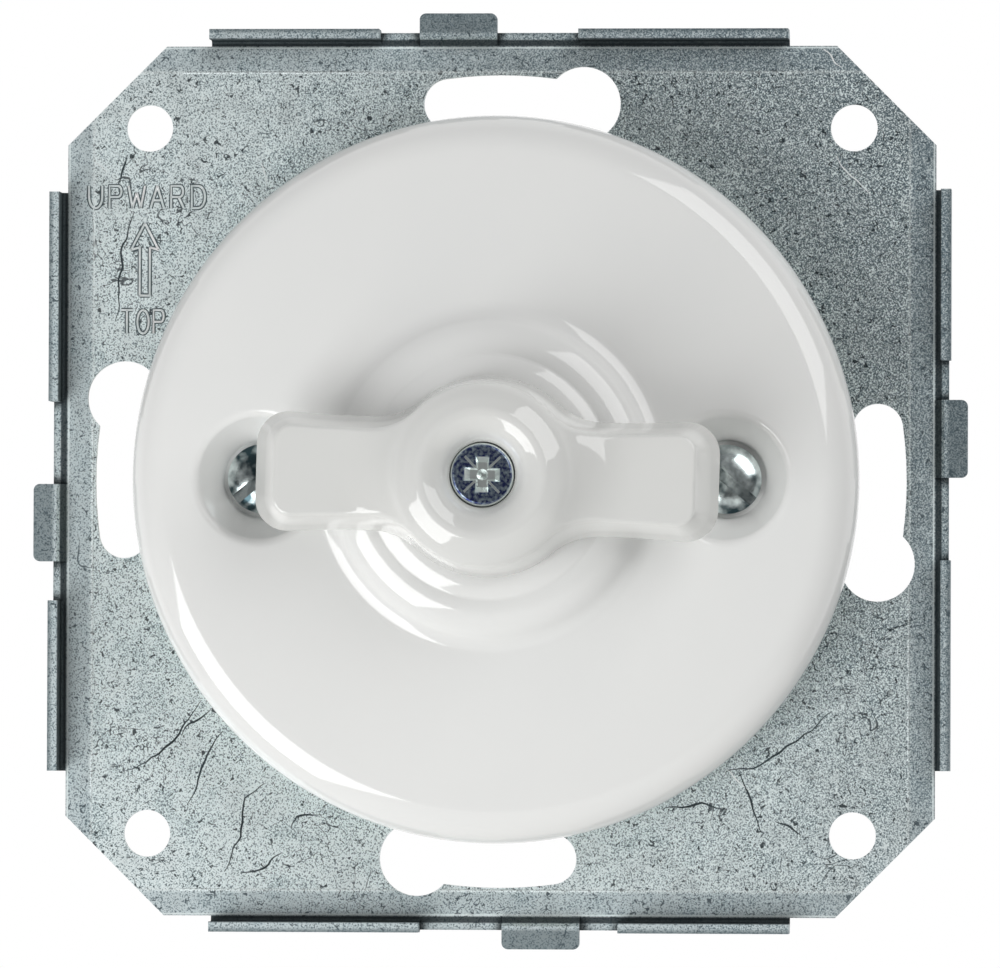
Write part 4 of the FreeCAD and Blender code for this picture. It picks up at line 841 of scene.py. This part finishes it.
# %% [markdown]
# The side is a stack of plan loops: a small round at the foot, and then a straight wall up to the
# top. The wall leans, so where it meets the top depends on the height there, and a few rounds of
# trying settle both.

# %% Where the knob's side meets its top
FOOT_ROUND = 0.4
FOOT_STEPS = 4
SETTLE = 15
PROBE_DOWN = 0.5

foot_turns = [math.radians(90) * step / FOOT_STEPS for step in range(FOOT_STEPS + 1)]
rows = []
for turn in foot_turns:
    level = knob_base + FOOT_ROUND * (1 - math.cos(turn))
    rows.append([(u, v, level) for u, v in plan_loop(FOOT_ROUND * (1 - math.sin(turn)))])

corners = []
for index in range(len(rows[0])):
    level = wing_level
    for _ in range(SETTLE):
        place = Vector(plan_loop(DRAFT * (level - knob_base))[index])
        level = top_height(place)
    below = Vector(plan_loop(DRAFT * (level - PROBE_DOWN - knob_base))[index])
    corners.append((place, level, below))
heights = [level for _, level, _ in corners]
print("the upper edge rises from", round(min(heights), 2), "to", round(max(heights), 2), "mm")

# %% [markdown]
# A small round joins side and top. It starts at the slope of the side and ends at the slope of the
# top, and it is wider where the hub rolls over than along the crisp edges of the wings. Then all the
# loops are bridged, one after the other.

# %% The knob's side and edge
WING_EDGE = 0.35
HUB_EDGE = 1.5
EDGE_STEPS = 7
PROBE_IN = 0.4

edge_rows = [[] for _ in range(EDGE_STEPS + 1)]
for index, (place, level, below) in enumerate(corners):
    along = corners[(index + 1) % len(corners)][0] - corners[index - 1][0]
    outwards = Vector((along.y, -along.x)).normalized()
    wall_lean = math.atan2(PROBE_DOWN, (below - place).dot(outwards))
    inwards_level = top_height(place - outwards * PROBE_IN)
    top_lean = max(math.atan2(inwards_level - level, PROBE_IN), 0)
    rounding = WING_EDGE + (HUB_EDGE - WING_EDGE) * min(top_lean, 1)
    back = rounding * math.tan((wall_lean - top_lean) / 2)
    for step, row in enumerate(edge_rows):
        lean = wall_lean + (top_lean - wall_lean) * step / EDGE_STEPS
        out = rounding * (math.sin(lean) - math.sin(top_lean)) - back * math.cos(top_lean)
        up = rounding * (math.cos(lean) - math.cos(top_lean)) + back * math.sin(top_lean)
        spot = place + outwards * out
        row.append((*spot, top_height(spot) if step == EDGE_STEPS else level + up))
rows += edge_rows

knob = bmesh.new()
loops = []
for row in rows:
    verts = [knob.verts.new(spot) for spot in row]
    loops.append([knob.edges.new((verts[i - 1], verts[i])) for i in range(len(verts))])
for lower, upper in zip(loops, loops[1:]):
    bmesh.ops.bridge_loops(knob, edges=lower + upper)
print("side of the knob:", len(knob.faces), "faces")

# %% [markdown]
# Inside the last loop the top follows its turned height. Rings of points carry the curves of hub and
# saddle, and a triangulation that keeps the loop and the screw's seat joins them.

# %% The knob's top, seat and spigot
AROUND = 160
CLEAR = 0.2
SPIGOT = 5.0
SPIGOT_LOW = 10.6
KNOB_TURN = math.radians(-1.5)

edge_points = [Vector(spot[:2]) for spot in rows[-1]]
flat_points = list(edge_points)
kept_edges = [(i, (i + 1) % len(edge_points)) for i in range(len(edge_points))]


def inside(point):
    """Whether a place lies inside the last loop and clear of it."""
    crossings = 0
    for a, b in zip(edge_points, edge_points[1:] + edge_points[:1]):
        if (a - point).length < CLEAR:
            return False
        if (a.y > point.y) != (b.y > point.y):
            crossings += point.x < (b.x - a.x) * (point.y - a.y) / (b.y - a.y) + a.x
    return crossings % 2 == 1


for ring_number, (radius, _) in enumerate(turned_top[:-1]):
    first = len(flat_points)
    ring = [Vector(spot) for spot in arc((0, 0), radius, 0, 360, AROUND)[:-1]]
    if ring_number == 0:
        kept_edges += [(first + i, first + (i + 1) % AROUND) for i in range(AROUND)]
    flat_points += [point for point in ring if inside(point)]
points, _, triangles, _, _, _ = geometry.delaunay_2d_cdt(flat_points, kept_edges, [], 1, 1e-5)
top_verts = [knob.verts.new((*point, top_height(point))) for point in points]
for triangle in triangles:
    middle = sum((points[i] for i in triangle), Vector((0, 0))) / 3
    if middle.length > SEAT:
        knob.faces.new([top_verts[i] for i in triangle])
spin(knob, [turned_top[0], (SEAT, seat_level), (0, seat_level)], AROUND)
spin(knob, [(SPIGOT, knob_base), (SPIGOT, SPIGOT_LOW), (0, SPIGOT_LOW)], TURN_STEPS)
bmesh.ops.remove_doubles(knob, verts=knob.verts, dist=0.01)
bmesh.ops.delete(knob, geom=[vert for vert in knob.verts if not vert.link_faces], context="VERTS")
underside = [edge for edge in knob.edges if edge.is_boundary
             and all(abs(vert.co.z - knob_base) < 0.02 for vert in edge.verts)]
bmesh.ops.triangle_fill(knob, edges=underside, use_beauty=True)
bmesh.ops.rotate(knob, cent=(0, 0, 0), matrix=Matrix.Rotation(KNOB_TURN, 3, "Z"), verts=knob.verts)
print("open edges left on the knob:", sum(edge.is_boundary for edge in knob.edges))
add_piece("porcelain_knob", mesh_of("porcelain_knob", knob), "knob_and_rotor",
          knob_porcelain_painted_shade, ["knob"], sharp=60)

# %% [markdown]
# ## Screws that show
# The cover screws have round heads with a sawn slot, the knob screw a cross with four fine marks
# between its arms. Each head is spun and its recess is cut with a boolean, which is how such a
# recess is made: a tool takes the metal away. A small bevel then breaks the cut edges.

# %% Tools for the screw heads
SHANK = 1.45
SHANK_CHAMFER = 0.4


def box_cutter(drawing, length, width, low, high, angle, spread=1.0):
    """Add a bar across the w axis that is wider at its top by a factor."""
    bar = bmesh.ops.create_cube(drawing, size=1)["verts"]
    for vert in bar:
        wide = spread if vert.co.z > 0 else 1
        vert.co = Vector((vert.co.x * length * wide, vert.co.y * width * wide,
                          low if vert.co.z < 0 else high))
    bmesh.ops.rotate(drawing, cent=(0, 0, 0), matrix=Matrix.Rotation(angle, 3, "Z"), verts=bar)


def carve(body_drawing, cutters, name):
    """Cut drawings out of a drawing, one after the other, and give the mesh back in the frame."""
    block = bpy.data.objects.new(name, mesh_of(name, body_drawing))
    scene.collection.objects.link(block)
    tools = []
    for number, cutter in enumerate(cutters):
        tool = bpy.data.objects.new(f"{name}_tool_{number}", mesh_of("tool", cutter))
        scene.collection.objects.link(tool)
        cut = block.modifiers.new("cut", "BOOLEAN")
        cut.object = tool
        cut.solver = "EXACT"
        tools.append(tool)
    graph = bpy.context.evaluated_depsgraph_get()
    mesh = bpy.data.meshes.new_from_object(block.evaluated_get(graph))
    for used in tools + [block]:
        bpy.data.objects.remove(used)
    return mesh


def shank_section(head, low, end):
    """The outline of a screw from the edge of its head to the end of its shank."""
    point = [(SHANK, end + SHANK_CHAMFER), (SHANK - SHANK_CHAMFER, end), (0, end)]
    return [(head, low), (SHANK, low)] + point


print("shank of a screw, mm:", 2 * SHANK)

# %% [markdown]
# The two cover screws are alike, and their slots stand as the screwdriver left them. The slot is sawn
# right across the head, so its tool is a bar that is longer than the head is wide.

# %% Cover screws
HEAD = 2.7
HEAD_HEIGHT = 1.8
HEAD_DOME = 0.75
SLOT_LENGTH = 8.0
SLOT_WIDTH = 0.8
SLOT_DEPTH = 1.1
SCREW_END = -3.0
CLEAR_ABOVE = 1.0
head_top = DISH_SEAT + HEAD_HEIGHT
dome_radius = (HEAD ** 2 + HEAD_DOME ** 2) / (2 * HEAD_DOME)
dome_sweep = math.degrees(math.asin(HEAD / dome_radius))
slot_angles = {"right": math.radians(-40), "left": math.radians(38)}
for name, angle in slot_angles.items():
    side = 1 if name == "right" else -1
    dome = arc((0, head_top - dome_radius), dome_radius, 90, 90 - dome_sweep, 14)
    screw = bmesh.new()
    spin(screw, dome + shank_section(HEAD, DISH_SEAT, SCREW_END), TURN_STEPS)
    saw = bmesh.new()
    box_cutter(saw, SLOT_LENGTH, SLOT_WIDTH, head_top - SLOT_DEPTH, head_top + CLEAR_ABOVE, angle)
    for drawing in (screw, saw):
        bmesh.ops.translate(drawing, vec=(side * SCREW_REACH, 0, 0), verts=drawing.verts)
    piece = add_piece(f"{name}_cover_screw", carve(screw, [saw], "cover_screw"), "switch_body",
                      zinc_plate, ["cover_screws"] if name == "right" else [])
    break_edges(piece, width=0.05)

# %% [markdown]
# The knob screw is passivated more strongly: a mottled blue film covers its head, and the driver has
# rubbed the floor of the cross bare. The film ends a twentieth of a millimetre below the top of the
# head, so the depth in the frame is enough to tell the two apart.

# %% Blue passivated zinc
KNOB_HEAD_HEIGHT = 2.0
MOTTLE = 0.3
FILM_END = 0.05
BARE_START = 0.12
knob_screw_top = seat_level + KNOB_HEAD_HEIGHT
passivated, tree, shader, where = new_material("blue_passivated_zinc")
mottle = add(tree, "ShaderNodeTexNoise", {"Vector": where, "Scale": per(MOTTLE), "Detail": 2.0})
share = add(tree, "ShaderNodeMapRange", {0: mottle.outputs["Fac"], 1: 0.4, 2: 0.7})
film = add(tree, "ShaderNodeMix", {0: share.outputs[0], 6: colour("#3A4474"), 7: colour("#B7C8D0")},
           data_type="RGBA")
depth = add(tree, "ShaderNodeSeparateXYZ", {0: where})
worn = add(tree, "ShaderNodeMapRange", {0: depth.outputs["Y"], 1: -(knob_screw_top - FILM_END) * MM,
                                        2: -(knob_screw_top - BARE_START) * MM})
head_tone = add(tree, "ShaderNodeMix", {0: worn.outputs[0], 6: film.outputs[2], 7: colour("#EEF5F3")},
                data_type="RGBA")
tree.links.new(head_tone.outputs[2], shader.inputs["Base Color"])
dents = add(tree, "ShaderNodeBump",
            {"Height": mottle.outputs["Fac"], "Strength": 0.6, "Distance": 0.03 * MM})
tree.links.new(dents.outputs[0], shader.inputs["Normal"])
shader.inputs["Metallic"].default_value = 1.0
shader.inputs["Roughness"].default_value = 0.28
print(passivated.name, "nodes:", len(tree.nodes))

# %% [markdown]
# The cross is pressed by a punch with two tapered blades and a pointed middle, and four fine marks
# between the arms tell which driver fits. Two bars that widen upwards, a cone and two thin bars cut
# them. The cross stands as the knob does, a little off level.

# %% Knob screw
KNOB_HEAD = 2.46
KNOB_HEAD_ROUND = 0.35
KNOB_SHANK = 8.3
CROSS_LENGTH = 3.5
CROSS_WIDTH = 1.15
CROSS_DEPTH = 0.5
CROSS_TAPER = 0.55
BLADE_TAPER = 0.6
MARK_LENGTH = 3.9
MARK_WIDTH = 0.2
MARK_DEPTH = 0.15
CUT_ABOVE = 0.3
PIT_DEPTH = 1.2
PIT_MIDDLE = 0.4
shoulder_centre = (KNOB_HEAD - KNOB_HEAD_ROUND, knob_screw_top - KNOB_HEAD_ROUND)
head_section = [(0, knob_screw_top)] + arc(shoulder_centre, KNOB_HEAD_ROUND, 90, 0, 8)
stem_section = shank_section(KNOB_HEAD, seat_level, seat_level - KNOB_SHANK)
knob_screw = bmesh.new()
spin(knob_screw, head_section + stem_section, TURN_STEPS)
cross = []
for angle in (0, 90):
    bar = bmesh.new()
    box_cutter(bar, CROSS_LENGTH * CROSS_TAPER, CROSS_WIDTH * BLADE_TAPER, knob_screw_top - CROSS_DEPTH,
               knob_screw_top + CUT_ABOVE, math.radians(angle) + KNOB_TURN, 1 / CROSS_TAPER)
    cross.append(bar)
pit = bmesh.new()
bmesh.ops.create_cone(pit, cap_ends=True, segments=32, radius1=0.1, radius2=0.9, depth=PIT_DEPTH,
                      matrix=Matrix.Translation((0, 0, knob_screw_top - PIT_MIDDLE)))
cross.append(pit)
for angle in (45, 135):
    mark = bmesh.new()
    box_cutter(mark, MARK_LENGTH, MARK_WIDTH, knob_screw_top - MARK_DEPTH, knob_screw_top + CUT_ABOVE,
               math.radians(angle) + KNOB_TURN)
    cross.append(mark)
piece = add_piece("cross_head_screw", carve(knob_screw, cross, "knob_screw"), "knob_and_rotor",
                  passivated, ["knob_screw"])
break_edges(piece, width=0.04)

# %% [markdown]
# ## Raised direction mark
# The plate carries a raised arrow with words that say which way up it goes. They are coined by lines
# cut into the die, one stroke wide. A letter is therefore a few strokes in a unit box, which is moved
# and stretched to its place on the plate.

# %% Strokes of the words and the arrow


def sides(points):
    """The straight strokes between points, each on its own, so that a sharp corner keeps its width."""
    return [list(pair) for pair in zip(points, points[1:])]


bowl = arc((0.65, 0.75), 0.25, 90, -90, 6)
letters = {
    "U": [[(0, 1)] + arc((0.5, 0.5), 0.5, 180, 360, 10) + [(1, 1)]],
    "P": [[(0, 0), (0, 1)] + bowl + [(0, 0.5)]],
    "W": sides([(-0.12, 1), (0.19, 0), (0.5, 0.7), (0.81, 0), (1.12, 1)]),
    "A": sides([(0, 0), (0.5, 1), (1, 0)]) + [[(0.2, 0.35), (0.8, 0.35)]],
    "R": [[(0, 0), (0, 1)] + bowl + [(0, 0.5)], [(0.55, 0.5), (0.95, 0)]],
    "D": [[(0, 0), (0, 1)] + arc((0.5, 0.5), 0.5, 90, -90, 8) + [(0, 0)]],
    "T": [[(0, 1), (1, 1)], [(0.5, 1), (0.5, 0)]],
    "O": [arc((0.5, 0.5), 0.5, 90, 450, 20)],
}


def word_strokes(word, left, low, width, height, advance):
    """The strokes of a word that starts at a place on the plate."""
    strokes = []
    for number, letter in enumerate(word):
        start = left + number * advance
        strokes += [[(start + u * width, low + v * height) for u, v in stroke]
                    for stroke in letters[letter]]
    return strokes


ARROW_PLACE = -28.15
half_arrow = [(0.4, 14.6), (0.4, 18.4), (1.1, 18.2), (0, 20.3)]
arrow = half_arrow + [(-u, v) for u, v in reversed(half_arrow[:-1])] + half_arrow[:1]
mark_strokes = {
    "upper_word": word_strokes("UPWARD", left=-32.6, low=21.5, width=1.05, height=1.75, advance=1.63),
    "direction_arrow": sides([(u + ARROW_PLACE, v) for u, v in arrow]),
    "lower_word": word_strokes("TOP", left=-30.0, low=11.6, width=0.9, height=1.85, advance=1.28),
}
print("strokes:", {name: len(strokes) for name, strokes in mark_strokes.items()})

# %% [markdown]
# A bead is a curve with a round bevel, made a mesh and then flattened. Laid along the strokes and half
# sunk in the sheet, it is the raised line, in a bright finish that is partly burnished zinc and partly
# a painted highlight. A flatter, wider and darker bead below it is a painted shadow round each stroke.
# The ends of a bead may run out thin, as those of a crack do.

# %% Lay the beads
SHEET = 0.8
STROKE = 0.1
STROKE_RISE = 0.08
BORDER = 0.18
BORDER_RISE = 0.015
# partly burnished zinc, partly a painted highlight on the raised strokes; the scratches are bright bare
# zinc
burnished_with_painted_highlight = machined("burnished_zinc_with_painted_highlight", "#FFFFFF", "#E9F1F1", roughness=0.5, line_width=0.2,
                     metallic=0.7)
# painted shadow: a dark flat bead round each stroke where its shadow falls
painted_stroke_shadow = machined("painted_shadow_round_strokes", "#5A676B", "#48555A", roughness=0.6, line_width=0.3,
                 metallic=0.6)


def lay_bead(name, strokes, radius, rise, finish, thin_ends=0.0):
    """Lay a bead along strokes on the plate, flattened to a rise, with ends that may run out thin."""
    curve = bpy.data.curves.new(name, "CURVE")
    curve.dimensions = "3D"
    curve.bevel_depth = radius
    curve.bevel_resolution = 1
    curve.use_fill_caps = True
    for stroke in strokes:
        line = curve.splines.new("POLY")
        line.points.add(len(stroke) - 1)
        for number, (point, (u, v)) in enumerate(zip(line.points, stroke)):
            point.co = (u, v, 0, 1)
            point.radius = 1 - thin_ends * abs(2 * number / (len(stroke) - 1) - 1)
    draft = bpy.data.objects.new(name, curve)
    scene.collection.objects.link(draft)
    graph = bpy.context.evaluated_depsgraph_get()
    mesh = bpy.data.meshes.new_from_object(draft.evaluated_get(graph))
    bpy.data.objects.remove(draft)
    flatten = Matrix.Translation((0, 0, SHEET)) @ Matrix.Diagonal((1, 1, rise / radius, 1))
    mesh.transform(drawing_to_frame @ flatten)
    return add_piece(name, mesh, "switch_body", finish)


for name, strokes in mark_strokes.items():
    lay_bead(name, strokes, STROKE, STROKE_RISE, burnished_with_painted_highlight)
    # the wider dark bead is painted shadow round the stroke
    lay_bead(f"{name}_painted_shadow", strokes, BORDER, BORDER_RISE, painted_stroke_shadow)

# %% [markdown]
# The press also leaves a low ridge along all four edges of the plate, just outside the slots, where
# its holder gripped the sheet. It is the same bead once more, in the sheet's finish, and it stops at
# the wide end of each slot.

# %% Ridge along the edges
RIDGE_END = 25.2
RIDGE_RISE = 0.03
WIDE_END_START = 4.7
WIDE_END_STOP = 8.25
ridge_runs = []
for quarter in range(4):
    turn = Matrix.Rotation(math.radians(90 * quarter), 2)
    for run in ((-RIDGE_END, WIDE_END_START), (WIDE_END_STOP, RIDGE_END)):
        ridge_runs.append([(turn @ Vector((place, RIDGE))).to_tuple() for place in run])
lay_bead("pressed_ridge", ridge_runs, STROKE, RIDGE_RISE, galvanised)

# %% [markdown]
# ## Cracks and scratches
# Cold rolled zinc cracks in long dark lines where the sheet was bent and flattened again, and the
# plate was scratched when it was handled. The few that the eye notices are laid where they are on
# the real plate, as hair-thin flattened beads: dark for the cracks, bright for the scratches. A
# noise sways each line a little, because metal never tears along a ruler. The noise has a seed, so
# that every run draws the same lines.

# %% Cracks and scratches
STEP = 0.3
SWAY = 0.28
SWAY_SEED = 5
noise.seed_set(SWAY_SEED)


def swayed(stroke):
    """A stroke in short steps that stray from its straight pieces."""
    spots = []
    for start, end in zip(stroke, stroke[1:]):
        run = Vector(end) - Vector(start)
        steps = max(round(run.length / STEP), 1)
        places = [Vector(start) + run * step / steps for step in range(steps + 1)]
        spots += [place + SWAY * noise.noise_vector((*place, 0), noise_basis="PERLIN_ORIGINAL").xy
                  for place in places]
    return spots


CRACK = 0.09
HAIR = 0.06
HAIR_RISE = 0.008
RUN_OUT = 0.7
cracks = [
    [(-23.6, -17.4), (-24.6, -18.8), (-25.8, -20.4), (-27.2, -21.6), (-28.2, -22.3), (-29.4, -23.0)],
    [(-22.9, -18.0), (-24.4, -19.0), (-25.2, -20.0)],
    [(-21.9, -19.7), (-22.9, -21.4), (-23.8, -23.9), (-24.6, -25.6)],
    [(-18.6, -23.8), (-20.0, -25.0), (-20.2, -26.9), (-20.7, -28.6), (-21.7, -30.8)],
    [(-20.2, -30.9), (-18.1, -30.3), (-17.1, -29.3)],
    [(-14.2, -26.2), (-15.9, -26.3), (-16.2, -27.5)],
    [(-29.6, 25.7), (-30.2, 23.4)],
    [(-29.1, 21.3), (-29.7, 19.3), (-30.1, 16.6), (-30.3, 14.4), (-30.3, 12.5)],
    [(26.1, -18.2), (23.6, -20.1), (21.9, -21.5), (19.5, -22.7), (17.7, -22.7)],
    [(18.9, -22.9), (19.5, -24.3), (20.6, -27.5)],
    [(21.9, -26.6), (23.6, -27.9)],
    [(12.8, -25.7), (14.4, -25.7), (15.9, -25.2), (17.8, -25.7)],
]
scratches = [
    [(26.3, 25.5), (27.5, 24.0), (29.1, 22.4)],
    [(25.3, 34.1), (26.8, 32.7)],
    [(-19.0, 25.1), (-18.4, 23.2)],
    [(-32.4, 25.3), (-31.0, 24.4)],
    [(17.7, -22.5), (19.8, -24.4)],
]
scale = machined("scale_in_cracked_zinc", "#39464B", "#2A3438", roughness=0.7, line_width=0.3,
                 metallic=0.4)
lay_bead("sheet_cracks", [swayed(line) for line in cracks], CRACK, HAIR_RISE, scale, RUN_OUT)
lay_bead("sheet_scratches", [swayed(line) for line in scratches], HAIR, HAIR_RISE, burnished_with_painted_highlight, RUN_OUT)

# %% [markdown]
# ## Base and terminals
# From behind one sees the steatite block with its three notches, and in each a clamp washer under a
# slotted brass screw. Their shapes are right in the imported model, so copies get rounded edges: wide
# ones on the pressed ceramic, fine ones on the metal.

# %% Base and terminals
base = add_piece("steatite_base", node_copy("switch_base"), "switch_body", steatite,
                 ["switch_base"])
break_edges(base, width=0.2)
brass_pieces = {"terminal_screws": "brass_terminal_screws", "clamp_washers": "brass_clamp_washers"}
for node, name in brass_pieces.items():
    piece = add_piece(name, node_copy(node), "switch_body", brass, [node])
    break_edges(piece, width=0.1)

# %% [markdown]
# ## Inner pieces
# The mechanism sits in the closed cavity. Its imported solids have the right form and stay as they
# are; each gets the finish of its own metal or moulding.

# %% Finishes of the inner pieces
inner_finishes = {
    zinc_plate: ["base_screws", "bridge_screws"],
    brass: ["cover_inserts", "spindle_bush", "contact_crown", "terminal_nuts"],
    bronze: ["way_one_finger", "way_two_finger", "common_finger"],
    spring_steel: ["right_detent_spring", "left_detent_spring"],
    turned_steel: ["spindle", "thrust_washer", "index_cam"],
    bridge_steel: ["bearing_bridge"],
    resin: ["rotor"],
}
for finish, nodes in inner_finishes.items():
    for node in nodes:
        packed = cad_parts[node]
        packed.data.materials.clear()
        packed.data.materials.append(finish)
print("inner pieces finished:", sum(len(nodes) for nodes in inner_finishes.values()))
